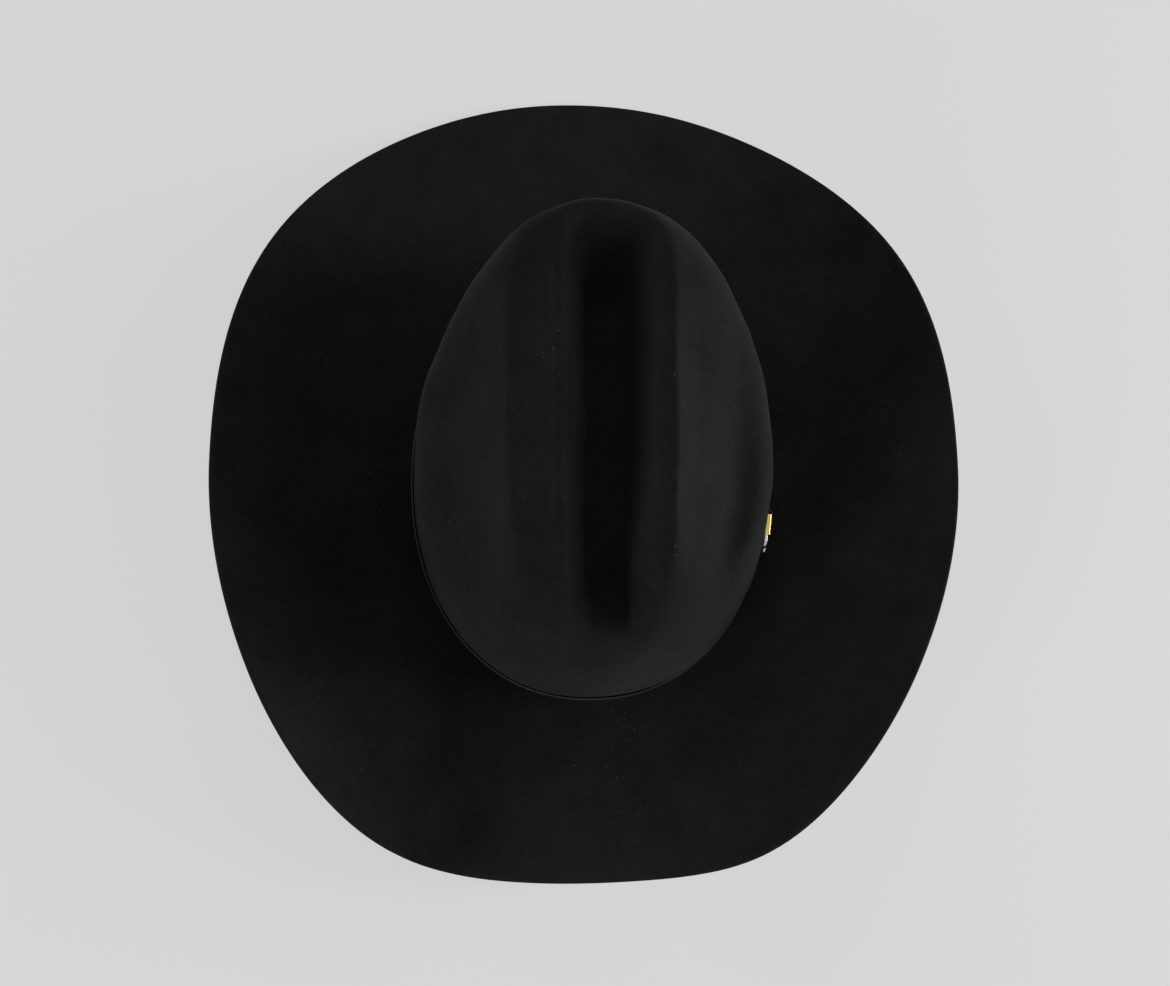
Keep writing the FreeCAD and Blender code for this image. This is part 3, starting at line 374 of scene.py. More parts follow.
def skin(name, rings, material, ends="poles"):
    """Closed mesh of rings, given in break millimetres: ends are 'poles', 'joined' or 'flat'."""
    rows, columns = len(rings), len(rings[0])
    points = on_table(np.concatenate([np.asarray(ring) for ring in rings]))
    apart = np.linalg.norm(np.diff(points.reshape(rows, columns, 3), axis=0), axis=-1).mean(1)
    down = np.concatenate([[0], np.cumsum(apart)])
    ring_steps = np.diff(points.reshape(rows, columns, 3), axis=1)
    girth = np.linalg.norm(ring_steps, axis=-1).sum(1).max()
    faces, corners = [], []
    last = rows if ends == "joined" else rows - 1
    for i in range(last):
        k = (i + 1) % rows
        fall = (down[i], down[k] if k else down[i] + apart.mean())
        for j in range(columns):
            n = (j + 1) % columns
            faces.append((i * columns + j, k * columns + j, k * columns + n, i * columns + n))
            left, right = girth * j / columns, girth * (j + 1) / columns
            corners += [(left, fall[0]), (left, fall[1]), (right, fall[1]), (right, fall[0])]
    if ends != "joined":
        for i, order in ((0, 1), (rows - 1, -1)):
            ring = list(range(i * columns, (i + 1) * columns))[::order]
            if ends == "flat":
                faces.append(tuple(ring))
                corners += [tuple(points[v][:2]) for v in ring]
                continue
            points = np.vstack([points, points[ring].mean(0)])
            middle = len(points) - 1
            for a, b in zip(ring, ring[1:] + ring[:1]):
                faces.append((middle, a, b))
                corners += [tuple(points[v][:2]) for v in (middle, a, b)]
    mesh = new_mesh(name, points, faces=faces)
    uv = mesh.uv_layers.new(name="surface")
    uv.data.foreach_set("uv", np.array(corners, dtype=np.float32).ravel())
    if signed_volume(points, faces) < 0:
        mesh.flip_normals()
    mesh.polygons.foreach_set("use_smooth", [True] * len(mesh.polygons))
    mesh.set_sharp_from_angle(angle=math.radians(55))
    mesh.materials.append(material)
    return placed(name, mesh)


def joined(name, pieces, material):
    """One piece made of several, in one material."""
    both = bmesh.new()
    for piece in pieces:
        both.from_mesh(piece.data)
    mesh = bpy.data.meshes.new(name)
    both.to_mesh(mesh)
    both.free()
    mesh.materials.append(material)
    mesh.polygons.foreach_set("material_index", [0] * len(mesh.polygons))
    for piece in pieces:
        bpy.data.objects.remove(piece)
    return placed(name, mesh)


# %% [markdown]
# ## Small tools for materials
#
# A material is a little network. A few helpers keep the scripts short: they add a node with its
# settings and values, weigh and mix what nodes give, and start a material or a shader group.
# Effects that several finishes share, such as grain and weave, are groups with named sliders.

# %% Node helpers


def set_inputs(tree, node, values):
    """Links each input of a node to a socket, or gives it a value."""
    for key, value in values.items():
        if isinstance(value, bpy.types.NodeSocket):
            tree.links.new(value, node.inputs[key])
        else:
            node.inputs[key].default_value = value


def add_node(tree, kind, values=None, **settings):
    node = tree.nodes.new(kind)
    for key, value in settings.items():
        setattr(node, key, value)
    set_inputs(tree, node, values or {})
    return node


def math_node(tree, operation, first, second=None):
    values = {0: first} if second is None else {0: first, 1: second}
    return add_node(tree, "ShaderNodeMath", values, operation=operation).outputs[0]


def highest(tree, sockets):
    most = sockets[0]
    for socket in sockets[1:]:
        most = math_node(tree, "MAXIMUM", most, socket)
    return most


def weighted(tree, *parts):
    """Sum of (value, weight) parts."""
    total = None
    for value, weight in parts:
        part = value if weight == 1 else math_node(tree, "MULTIPLY", value, weight)
        total = part if total is None else math_node(tree, "ADD", total, part)
    return total


def looked_at(tree):
    """1 for rays that show the background: straight, mirrored or seen through."""
    path = add_node(tree, "ShaderNodeLightPath").outputs
    kinds = ("Is Camera Ray", "Is Transmission Ray", "Is Glossy Ray")
    return highest(tree, [path[kind] for kind in kinds])


def noise(tree, where, scale, detail=2.0, roughness=0.5):
    values = {"Vector": where, "Scale": scale, "Detail": detail, "Roughness": roughness}
    return add_node(tree, "ShaderNodeTexNoise", values).outputs["Fac"]


def ranged(tree, value, low, high, to_low=0.0, to_high=1.0):
    values = {"Value": value, "From Min": low, "From Max": high,
              "To Min": to_low, "To Max": to_high}
    return add_node(tree, "ShaderNodeMapRange", values).outputs["Result"]


def mixed(tree, factor, first, second):
    """Colour between two others."""
    ends = [value if isinstance(value, bpy.types.NodeSocket) else (*value, 1.0)
            for value in (first, second)]
    node = add_node(tree, "ShaderNodeMix", {0: factor, 6: ends[0], 7: ends[1]}, data_type="RGBA")
    return node.outputs[2]


def new_socket(tree, label, in_out, kind, value=None):
    kind = "NodeSocket" + kind
    socket = tree.interface.new_socket(label, in_out=in_out, socket_type=kind)
    if value is not None:
        socket.default_value = value
    return socket


def inside_of(tree):
    """What a group is given, and what it tells."""
    return tree.nodes.new("NodeGroupInput").outputs, tree.nodes.new("NodeGroupOutput").inputs


def new_group(name, numbers, outputs):
    """Shader group that takes a place and named numbers, and tells named numbers."""
    group = bpy.data.node_groups.new(name, "ShaderNodeTree")
    new_socket(group, "Place", "INPUT", "Vector")
    for label, value in numbers.items():
        new_socket(group, label, "INPUT", "Float", value)
    for label in outputs:
        new_socket(group, label, "OUTPUT", "Float")
    return group, *inside_of(group)


def finish_with(tree, surface, **values):
    """Sets or links the inputs of a Principled BSDF."""
    set_inputs(tree, surface, {key.replace("_", " "): value for key, value in values.items()})


def new_material(name, **constants):
    """Material with its Principled BSDF, whose constant values are set on its own sockets."""
    material = bpy.data.materials.new(name)
    material.use_nodes = True
    tree = material.node_tree
    surface = tree.nodes["Principled BSDF"]
    finish_with(tree, surface, **constants)
    return material, tree, surface


def placed_group(tree, group, **values):
    return add_node(tree, "ShaderNodeGroup", values, node_tree=group).outputs


def bumped(tree, surface, height, distance, strength=1.0):
    values = {"Height": height, "Distance": distance, "Strength": strength}
    finish_with(tree, surface, Normal=add_node(tree, "ShaderNodeBump", values).outputs["Normal"])


def streaks(tree, place, stretches, scale, detail, roughness=0.5, rotation=(0, 0, 0)):
    """Noise drawn out in several directions."""
    drawn = []
    for stretch in stretches:
        values = {"Vector": place, "Scale": stretch, "Rotation": rotation}
        run = add_node(tree, "ShaderNodeMapping", values).outputs["Vector"]
        drawn.append(noise(tree, run, scale, detail, roughness))
    return drawn


def object_place(tree):
    return add_node(tree, "ShaderNodeTexCoord").outputs["Object"]


def surface_place(tree):
    return add_node(tree, "ShaderNodeTexCoord").outputs["UV"]


# %% [markdown]
# ## Felt
#
# Good hat felt is fur pressed to a dense sheet and brushed to a short nap. Close up it is a mat
# of crossing fibres. From further off it is deep and matt, with a soft haze where the nap is seen
# at a low angle, a little unevenness from the brushing, and a speck of lint here and there. The
# haze is the Sheen of the Principled BSDF. Fibres are noise drawn out in three directions, and
# drive both the bump and small changes of tone.

# %% Group: nap
nap, given, told = new_group("nap", {"Fibres": 900.0, "Patches": 45.0}, ["Height", "Tone", "Lint"])
FIBRE_WAYS = (1.0, 0.22, 0.6), (0.25, 1.0, 0.7), (0.7, 0.6, 0.2)
fibre = highest(nap, streaks(nap, given["Place"], FIBRE_WAYS, given["Fibres"], 3.0, 0.6))
patch = noise(nap, given["Place"], given["Patches"], 3.0, 0.55)
brushing = noise(nap, given["Place"], 9.0, 2.0, 0.5)
nap.links.new(weighted(nap, (fibre, 1), (patch, 0.5)), told["Height"])
nap.links.new(weighted(nap, (fibre, 0.55), (patch, 0.25), (brushing, 0.25)), told["Tone"])
speck = add_node(nap, "ShaderNodeTexVoronoi", {"Vector": given["Place"], "Scale": 260.0})
small = ranged(nap, speck.outputs["Distance"], 0.13, 0.05)
rare = ranged(nap, noise(nap, given["Place"], 24.0, 1.0), 0.55, 0.70)
nap.links.new(math_node(nap, "MULTIPLY", small, rare), told["Lint"])
print("nap group:", len(nap.nodes), "nodes")

# %% Material: black felt
FELT_DARK, FELT_LIGHT = (0.004, 0.004, 0.0041), (0.0135, 0.0135, 0.0138)
LINT = (0.045, 0.044, 0.043)
felt, tree, surface = new_material("black_felt", Roughness=0.95, Sheen_Weight=0.02,
                                   Sheen_Roughness=0.4, Specular_IOR_Level=0.05)
brushed = placed_group(tree, nap, Place=object_place(tree))
shade = mixed(tree, ranged(tree, brushed["Tone"], 0.38, 0.72), FELT_DARK, FELT_LIGHT)
finish_with(tree, surface, Base_Color=mixed(tree, brushed["Lint"], shade, LINT))
bumped(tree, surface, brushed["Height"], 0.00035, 0.5)
print("felt:", len(tree.nodes), "nodes")

# %% [markdown]
# ## The felt body
#
# One sheet of felt makes crown and brim, so one closed skin does too: the outer rings run from
# the middle of the crease down the wall, round the break and out to the edge, the cut edge is a
# half round, and the inner rings run back at the felt's thickness. A steamed and hand creased
# crown is never quite even, so slow waves move the skin by some tenths of a millimetre.

# %% Make the felt body


WAVES = ((1.0, (61, 43, 0), 2.0, (0, 37, -71), 0.6),
         (0.6, (79, 113, 0), 1.1, (97, 0, -59), 2.7),
         (0.3, (-173, 211, 0), 0.4, (149, 0, 187), 1.9))
UNEVEN, CALM_EDGE, LINED_FROM, LINED_FADE = 0.55, 0.25, 0.8, 0.15
LINED_TO, LINED_END = 2.2, 0.1


def uneven(ring, size):
    """Slow waves over the felt, about a millimetre at most, none where size is zero."""
    places = np.asarray(ring) / 1000
    wave = sum(share * np.sin(places @ one + start) * np.sin(places @ two + other)
               for share, one, start, two, other in WAVES)
    return wave[:, None] * size


def felt_ring(station, depth):
    """Ring of the felt; the crown's inner face stays even, because the lining lies on it."""
    ring = felt_inside(station, depth)
    lined = ease((station - LINED_FROM) / LINED_FADE) * ease((LINED_TO - station) / LINED_END)
    moved = depth == 0 or station > 2
    size = UNEVEN * ease((3.0 - station) / CALM_EDGE) * (1 - lined) if moved else 0.0
    return ring + felt_normal(max(station, NUDGE * 2), ANGLES) * uneven(ring, size)


stations = crown_stations(2, 26, 40, 16) + steps(1, 2, 5) + steps(2, 3, 26)
outer = [felt_ring(station, 0.0) for station in stations]
inner = [felt_ring(station, FELT) for station in stations[::-1]]
outwards = unit(felt_point(3.0, ANGLES) - felt_point(3.0 - NUDGE, ANGLES))
edge = []
for turn in np.radians([30, 60, 90, 120, 150]):
    depth, out = FELT * (1 - math.cos(turn)) / 2, EDGE_ROUND * math.sin(turn)
    edge.append(felt_inside(3.0, depth) + outwards * out)
felt_hat = skin("felt_hat", outer + edge + inner, felt)
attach(felt_hat, "hat")
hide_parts("felt_body")
print("felt body:", len(felt_hat.data.polygons), "faces")

# %% [markdown]
# ## Cloth and leather surfaces
#
# Woven tape and satin are threads that cross. The weave group draws two sets of rounded threads
# and lets one pass over the other in a checker, on the piece's own UV map in metres, so that the
# threads follow the cloth. Leather has cells with fine creases between them: a Voronoi texture,
# measured to the cell edge, gives them, and slow noise makes some places darker than others.

# %% Group: weave
weave, given, told = new_group("weave", {"Threads": 2000.0, "Floats": 1.0}, ["Height", "Tone"])
scaled = add_node(weave, "ShaderNodeVectorMath", {0: given["Place"], "Scale": given["Threads"]},
                  operation="SCALE").outputs[0]
across, along = add_node(weave, "ShaderNodeSeparateXYZ", {0: scaled}).outputs[:2]
waves = [math_node(weave, "SINE", weighted(weave, (way, math.pi))) for way in (across, along)]
warp, weft = (math_node(weave, "ABSOLUTE", wave) for wave in waves)
row = math_node(weave, "FLOOR", math_node(weave, "DIVIDE", along, given["Floats"]))
both = math_node(weave, "ADD", math_node(weave, "FLOOR", across), row)
over = math_node(weave, "MODULO", math_node(weave, "ABSOLUTE", both), 2.0)
under = math_node(weave, "SUBTRACT", 1.0, over)
height = weighted(weave, (math_node(weave, "MULTIPLY", over, warp), 1),
                  (math_node(weave, "MULTIPLY", under, weft), 0.8))
weave.links.new(height, told["Height"])
faded = noise(weave, given["Place"], 60.0, 3.0)
# The tone takes the thread height, so the colour is darker where a thread curves down and passes
# under: painted shade between the threads, mixed with slow noise for random fading.
weave.links.new(weighted(weave, (height, 0.45), (faded, 0.55)), told["Tone"])

# %% Group: grain
grain, given, told = new_group("grain", {"Pores": 900.0}, ["Height", "Tone"])
drift = add_node(grain, "ShaderNodeTexNoise", {"Vector": given["Place"], "Scale": 300.0})
bent = add_node(grain, "ShaderNodeVectorMath", {0: drift.outputs["Color"], "Scale": 0.0012},
                operation="SCALE").outputs[0]
where = add_node(grain, "ShaderNodeVectorMath", {0: given["Place"], 1: bent}).outputs[0]
cells = add_node(grain, "ShaderNodeTexVoronoi", {"Vector": where, "Scale": given["Pores"]},
                 feature="DISTANCE_TO_EDGE")
crease = ranged(grain, cells.outputs["Distance"], 0.0, 0.22)
handled = noise(grain, given["Place"], 70.0, 4.0)
grain.links.new(weighted(grain, (crease, 1), (handled, 0.4)), told["Height"])
# The tone is darker in the creases between the cells, which is painted shade, and darker at random
# where the leather was handled.
grain.links.new(weighted(grain, (crease, 0.3), (handled, 0.7)), told["Tone"])
print("weave and grain:", len(weave.nodes), "and", len(grain.nodes), "nodes")

# %% Cloth and leather materials


def cloth(name, threads, floats, dark, light, depth, **constants):
    material, tree, surface = new_material(name, **constants)
    woven = placed_group(tree, weave, Place=surface_place(tree), Threads=threads, Floats=floats)
    # Colour from the weave's tone, which holds painted shade between the threads.
    shade = mixed(tree, ranged(tree, woven["Tone"], 0.3, 0.8), dark, light)
    finish_with(tree, surface, Base_Color=shade)
    bumped(tree, surface, woven["Height"], depth, 0.6)
    return material


def hide(name, pores, dark, light, smooth, rough, **constants):
    material, tree, surface = new_material(name, **constants)
    skin_grain = placed_group(tree, grain, Place=object_place(tree), Pores=pores)
    # Colour from the grain's tone, which holds painted shade in the creases.
    shade = mixed(tree, ranged(tree, skin_grain["Tone"], 0.25, 0.85), dark, light)
    dull = ranged(tree, skin_grain["Tone"], 0.2, 0.9, rough, smooth)
    finish_with(tree, surface, Base_Color=shade, Roughness=dull)
    bumped(tree, surface, skin_grain["Height"], 0.00012, 0.5)
    return material


satin = cloth("black_satin", 5200.0, 4.0, (0.02, 0.02, 0.023), (0.06, 0.06, 0.066), 0.00006,
              Roughness=0.38, Sheen_Weight=0.4, Sheen_Roughness=0.3, Anisotropic=0.5)
tape_cloth = cloth("cotton_tape", 1900.0, 1.0, (0.02, 0.02, 0.021), (0.06, 0.06, 0.062), 0.0002,
                   Roughness=0.9, Sheen_Weight=0.2)
cord_cloth = cloth("piping_cloth", 2600.0, 1.0, (0.03, 0.03, 0.033), (0.085, 0.085, 0.09), 0.0001,
                   Roughness=0.6, Sheen_Weight=0.3)
band_leather = hide("sweatband_leather", 1100.0, (0.028, 0.017, 0.011), (0.075, 0.048, 0.032),
                    0.42, 0.68, Specular_IOR_Level=0.4)
strap_leather = hide("strap_leather", 1500.0, (0.008, 0.008, 0.008), (0.02, 0.019, 0.018),
                     0.4, 0.6, Specular_IOR_Level=0.25)
thread, tree, surface = new_material("thread", Roughness=0.7, Sheen_Weight=0.3)
plies = noise(tree, object_place(tree), 2400.0, 2.0)
THREAD_DARK, THREAD_LIGHT = (0.015, 0.015, 0.016), (0.07, 0.07, 0.072)
finish_with(tree, surface, Base_Color=mixed(tree, plies, THREAD_DARK, THREAD_LIGHT))
bumped(tree, surface, plies, 0.0001, 0.5)
print("cloth and leather:", len((satin, tape_cloth, cord_cloth, band_leather, strap_leather)))

# %% [markdown]
# ## Metal
#
# The buckle set is plated: a bright silver tone for frame, prong and tip, a warm gold tone for
# the trims, and drawn steel for the bar. Plate is never perfect. Fine scratches run every way and
# handling dulls it in patches, so both go into roughness and a very small bump, and the colour
# is a little deeper where it is dull. Their CAD mesh is exact, so only the material changes.

# %% Group: handling, and the metals
handling, given, told = new_group("handling", {"Scratches": 600.0}, ["Height", "Dulled"])
SCRATCH_WAYS = (1.0, 0.06, 0.3), (0.08, 1.0, 0.35), (0.3, 0.09, 1.0)
lines = streaks(handling, given["Place"], SCRATCH_WAYS, given["Scratches"], 4.0,
                rotation=(0.3, 0.5, 0.7))
marks = highest(handling, [ranged(handling, line, 0.62, 0.70) for line in lines])
cloudy = noise(handling, given["Place"], 260.0, 3.0)
handling.links.new(math_node(handling, "SUBTRACT", cloudy, marks), told["Height"])
dulled = highest(handling, [math_node(handling, "MULTIPLY", marks, 0.7), cloudy])
handling.links.new(dulled, told["Dulled"])


def plate(name, bright, deep, smooth, rough, **constants):
    material, tree, surface = new_material(name, Metallic=1.0, **constants)
    worn = placed_group(tree, handling, Place=object_place(tree), Scratches=700.0)
    finish_with(tree, surface, Base_Color=mixed(tree, worn["Dulled"], bright, deep),
                Roughness=ranged(tree, worn["Dulled"], 0.2, 0.9, smooth, rough))
    bumped(tree, surface, worn["Height"], 0.00002, 0.4)
    return material


silver_plate = plate("silver_plate", (0.72, 0.71, 0.69), (0.45, 0.44, 0.42), 0.14, 0.38)
gold_plate = plate("gold_plate", (0.86, 0.62, 0.24), (0.62, 0.42, 0.15), 0.16, 0.4)
steel = plate("drawn_steel", (0.6, 0.6, 0.6), (0.38, 0.38, 0.38), 0.22, 0.5)
for node, metal in (("buckle_frame", silver_plate), ("buckle_prong", silver_plate),
                    ("band_tip", silver_plate), ("buckle_trim", gold_plate), ("hinge_bar", steel)):
    frame["nodes"][node].data.materials[0] = metal
    print(node, "in", metal.name)

# %% [markdown]
# ## Places on the crown wall
#
# The sweatband and the lining lie inside the wall at a given depth, at a given height, so the
# wall has to be found by height. The rule only gives height from a ring's share, and a few
# halvings of the interval turn that round.

# %% The wall by height
GAP, LEATHER, SWEATBAND_TOP, REED_RADIUS, REED_Z = 0.3, 1.1, 40.0, 0.7, 0.6
TAPE, TAPE_TOP, SNUG, LINING, LINING_BOTTOM, LINING_SEAM = 0.35, 6.0, 0.05, 0.5, 31.0, 64.0
PIPING_RADIUS, SEAM_TAPE_WIDTH, SEAM_TAPE, SEAM_SLIT = 0.8, 14.0, 0.35, 0.8
UPRIGHT = np.array([0.0, 0.0, 1.0])


def wall_station(z, angle):
    low, high = np.full_like(angle, 0.45), np.ones_like(angle)
    for _ in range(30):
        middle = (low + high) / 2
        above = crown_point(middle, angle)[..., 2] > z
        low, high = np.where(above, middle, low), np.where(above, high, middle)
    return (low + high) / 2


def wall_point(z, depth, angle):
    """Point at a height, a level depth inside the outer face of the crown wall."""
    def face(at):
        if z <= BREAK_RADIUS:
            return oval_point(at)
        return crown_point(wall_station(z, at), at)[..., :2]

    run = face(angle + TURN) - face(angle - TURN)
    inwards = unit(np.stack([-run[..., 1], run[..., 0]], -1))
    point = face(angle) + inwards * depth
    return np.concatenate([point, np.full(point.shape[:-1] + (1,), float(z))], -1)


def leather_depth(z):
    """Outer face of the sweatband: it leans in to leave the lining room."""
    lean = (2 * GAP + LINING + SNUG) * float(ease((z - TAPE_TOP) / (LINING_BOTTOM - TAPE_TOP)))
    return FELT + GAP + TAPE + 2 * SNUG + lean


REED_DEPTH = leather_depth(0) + LEATHER / 2
LEATHER_BOTTOM = REED_Z + REED_RADIUS + SNUG


def swept(name, section, angles, material, ends):
    """Skin of one (depth, z) section carried round inside the wall."""
    rows = np.array([wall_point(z, depth, angles) for depth, z in section])
    return skin(name, list(rows.transpose(1, 0, 2)), material, ends)


def finish_piece(piece, body, nodes):
    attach(piece, body)
    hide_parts(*nodes)
    print(piece.name, len(piece.data.polygons), "faces, on", body)


# %% [markdown]
# ## Sweatband, reed and tape
#
# The sweatband is a strip of thin leather sewn to a cloth tape, and the tape is folded round a
# plastic reed that keeps the foot of the band smooth. The ends of the leather meet in a butt
# joint at the back. Each is one section carried round inside the wall. The leather stops either
# side of the joint, and its top edge is turned a little, as an edge that is rubbed smooth.

# %% Sweatband
half_slit = SEAM_SLIT / 2 / OVAL_B
open_angles = np.linspace(math.pi / 2 + half_slit, math.pi * 2.5 - half_slit, 300)
SOFT_TOP = 0.5
heights = [LEATHER_BOTTOM] + steps(LEATHER_BOTTOM, SWEATBAND_TOP - SOFT_TOP, 12)
roundness = [(0.5 + 0.5 * math.cos(t), math.sin(t)) for t in np.radians([150, 120, 90, 60, 30])]
top_depth = leather_depth(SWEATBAND_TOP)
section = [(leather_depth(z), z) for z in heights]
section += [(top_depth + LEATHER * share, SWEATBAND_TOP - SOFT_TOP + SOFT_TOP * rise)
            for share, rise in roundness]
section += [(leather_depth(z) + LEATHER, z) for z in reversed(heights)]
leather_ring = swept("leather_sweatband", section, open_angles, band_leather, "flat")
finish_piece(leather_ring, "hat", ["sweatband"])

# %% Reed and tape
reed_plastic, tree, surface = new_material("reed_plastic", Roughness=0.45, Subsurface_Weight=0.1)
streak = noise(tree, object_place(tree), 400.0, 2.0)
finish_with(tree, surface, Base_Color=mixed(tree, streak, (0.62, 0.6, 0.54), (0.74, 0.72, 0.66)),
            Roughness=ranged(tree, streak, 0.3, 0.7, 0.38, 0.55))


def round_reed(radius, turns):
    return [(REED_DEPTH - radius * math.cos(turn), REED_Z + radius * math.sin(turn))
            for turn in np.radians(turns)]


reed = swept("reed", round_reed(REED_RADIUS, np.arange(10) * 36.0), ANGLES, reed_plastic, "joined")
finish_piece(reed, "hat", ["sweatband_reed"])
inner_wrap = REED_RADIUS + SNUG * 2
outer_wrap = inner_wrap + TAPE
under = np.linspace(0, -180, 13)
section = []
for wrap, side, turns in ((outer_wrap, -1, under), (inner_wrap, 1, under[::-1])):
    section += [(REED_DEPTH + side * wrap, TAPE_TOP), (REED_DEPTH + side * wrap, TAPE_TOP / 2)]
    section += round_reed(wrap, turns)
    section += [(REED_DEPTH - side * wrap, TAPE_TOP / 2), (REED_DEPTH - side * wrap, TAPE_TOP)]
folded_tape = swept("tape_round_reed", section, ANGLES, tape_cloth, "joined")
finish_piece(folded_tape, "hat", ["reed_tape"])

# %% Tape behind the butt joint
half_tape = SEAM_TAPE_WIDTH / 2 / OVAL_B
short = np.linspace(math.pi / 2 - half_tape, math.pi / 2 + half_tape, 17)
low, high = TAPE_TOP + GAP, LINING_BOTTOM - GAP
section = [(leather_depth(z) - SNUG, z) for z in np.linspace(low, high, 9)]
section += [(leather_depth(z) - SNUG - SEAM_TAPE, z) for z in np.linspace(high, low, 9)]
joint_tape = swept("tape_behind_joint", section, short, tape_cloth, "flat")
finish_piece(joint_tape, "hat", ["sweatband_seam"])

# %% [markdown]
# ## Lining
#
# The lining is a cap of satin in two pieces: a flat tip under the crown and a side that runs down
# behind the sweatband, with a covered cord sewn into the seam. Cloth sewn round a curve gathers,
# so small folds fan out from the seam and die away. They only move the cloth inwards, because the
# felt is close behind it. The cord is a section of three soft lobes that turn as they go round.

# %% Tip, side and piping
LINING_OUTSIDE, LINING_INSIDE = FELT + GAP, FELT + GAP + LINING
FOLDS, FOLD_DEPTH = 46, 1.3
SEAM_STATION = station_at(LINING_SEAM)


def folds(drift):
    """Shares of 0 to 1 round the lining, one wave for each fold."""
    return 0.5 + 0.5 * np.sin(ANGLES * FOLDS + drift)


def gathered(station, depth, away):
    """Ring of lining with folds that fade away from the seam."""
    fold = folds(0.8 * np.sin(ANGLES * 7 + 1.0))
    fold = fold * (0.6 + 0.4 * np.sin(ANGLES * 5 + 0.4)) * FOLD_DEPTH * (1 - float(ease(away)))
    return felt_point(station, ANGLES) - felt_normal(station, ANGLES) * (depth + fold)[:, None]


SEAM_STEP, FADE = 0.002, 0.09
tip_stations = [s for s in crown_stations(2, 18, 16, 8) if FLOOR_STATION < s < SEAM_STATION - 0.01]
tip_stations.append(SEAM_STATION - SEAM_STEP)
faces = []
for depth in (LINING_OUTSIDE, LINING_INSIDE):
    rings = [felt_inside(s, depth) for s in (FLOOR_STATION / 2, FLOOR_STATION)]
    faces.append(rings + [gathered(s, depth, (SEAM_STATION - s) / FADE) for s in tip_stations])
satin_tip = skin("satin_tip", faces[0] + faces[1][::-1], satin)
finish_piece(satin_tip, "hat", ["lining_tip"])

foot = wall_station(LINING_BOTTOM, ANGLES)
outer, inner = [], []
for share in np.linspace(0, 1, 22):
    station = between(share ** 1.3, SEAM_STATION + SEAM_STEP, foot)
    near, far = crown_point(station - NUDGE, ANGLES), crown_point(station + NUDGE, ANGLES)
    round_it = crown_point(station, ANGLES + TURN) - crown_point(station, ANGLES - TURN)
    outside = unit(np.cross(far - near, round_it))
    pleat = folds(1.2 * np.sin(ANGLES * 5 + share * 2)) * FOLD_DEPTH
    pleat = pleat * (1 - 0.75 * float(ease(share / 0.8)))
    for rings, depth in ((outer, LINING_OUTSIDE), (inner, LINING_INSIDE)):
        rings.append(crown_point(station, ANGLES) - outside * (depth + pleat)[:, None])
satin_side = skin("satin_side", outer + inner[::-1], satin, "joined")
finish_piece(satin_side, "hat", ["lining_side"])

cord_sections = []
fine = np.arange(720) * math.pi / 360
near, far = felt_point(SEAM_STATION - NUDGE, fine), felt_point(SEAM_STATION + NUDGE, fine)
downwards, outside = unit(far - near), felt_normal(SEAM_STATION, fine)
middle = felt_point(SEAM_STATION, fine) - outside * (LINING_INSIDE + SNUG + PIPING_RADIUS)
for turn in np.radians(np.arange(12) * 30.0):
    lobes = PIPING_RADIUS * (0.9 + 0.1 * np.cos(3 * turn + fine * 120))
    way = outside * math.cos(turn) + downwards * math.sin(turn)
    cord_sections.append(middle + way * lobes[:, None])
piping = skin("piping", list(np.array(cord_sections).transpose(1, 0, 2)), cord_cloth, "joined")
finish_piece(piping, "hat", ["lining_piping"])

# %% [markdown]
# ## Bow
#
# The butt joint is dressed with a small ribbon bow, its loops flat against the leather. A ribbon
# is a thin strip carried along a path, pinched where the knot grips it. Each strip has a little
# wave, as satin that has been tied has, and the tails are cut on the slant so they don't fray.

# %% Ribbon helper and bow
BOW_WIDTH, BOW_HEIGHT, BOW_LOOP, BOW_TAIL = 20.0, 14.0, 2.0, 9.0
BOW_TAIL_SPREAD, BOW_TURN, RIBBON_WIDTH, RIBBON, KNOT_WIDTH = 28.0, 6.0, 4.0, 0.4, 3.2
bow_place = wall_point(BOW_HEIGHT, leather_depth(BOW_HEIGHT) + LEATHER + GAP + BOW_LOOP / 2,
                       np.array([math.pi / 2]))[0]


def ribbon(name, path, across, material, widths, slant=0.0):
    """Strip along a path, across is its width's direction; its far end may be cut on the slant."""
    path, widths = np.asarray(path, dtype=float), np.asarray(widths, dtype=float)
    run = unit(np.gradient(path, axis=0))
    across = unit(np.broadcast_to(across, path.shape))
    face = unit(np.cross(run, across))
    rings = []
    shares = (-1, -0.5, 0, 0.5, 1)
    for share, lift in [(a, -1) for a in shares] + [(a, 1) for a in shares[::-1]]:
        cupped = 0.12 * (1 - share * share)
        cut = slant * share * widths / 2 * ease(np.linspace(-4, 1, len(path)))
        rings.append(path + across * (share * widths / 2)[:, None] + run * cut[:, None] +
                     face * (lift * RIBBON / 2 + cupped))
    return skin(name, list(np.array(rings).transpose(1, 0, 2)), material, "flat")


def tied(points, side):
    """From the bow's own axes to its place, its loops turned in with the leather."""
    turn = math.radians(-BOW_TURN * side)
    x, y, z = np.asarray(points).T
    swung = np.column_stack([x * math.cos(turn) - y * math.sin(turn),
                             x * math.sin(turn) + y * math.cos(turn), z])
    return swung + bow_place


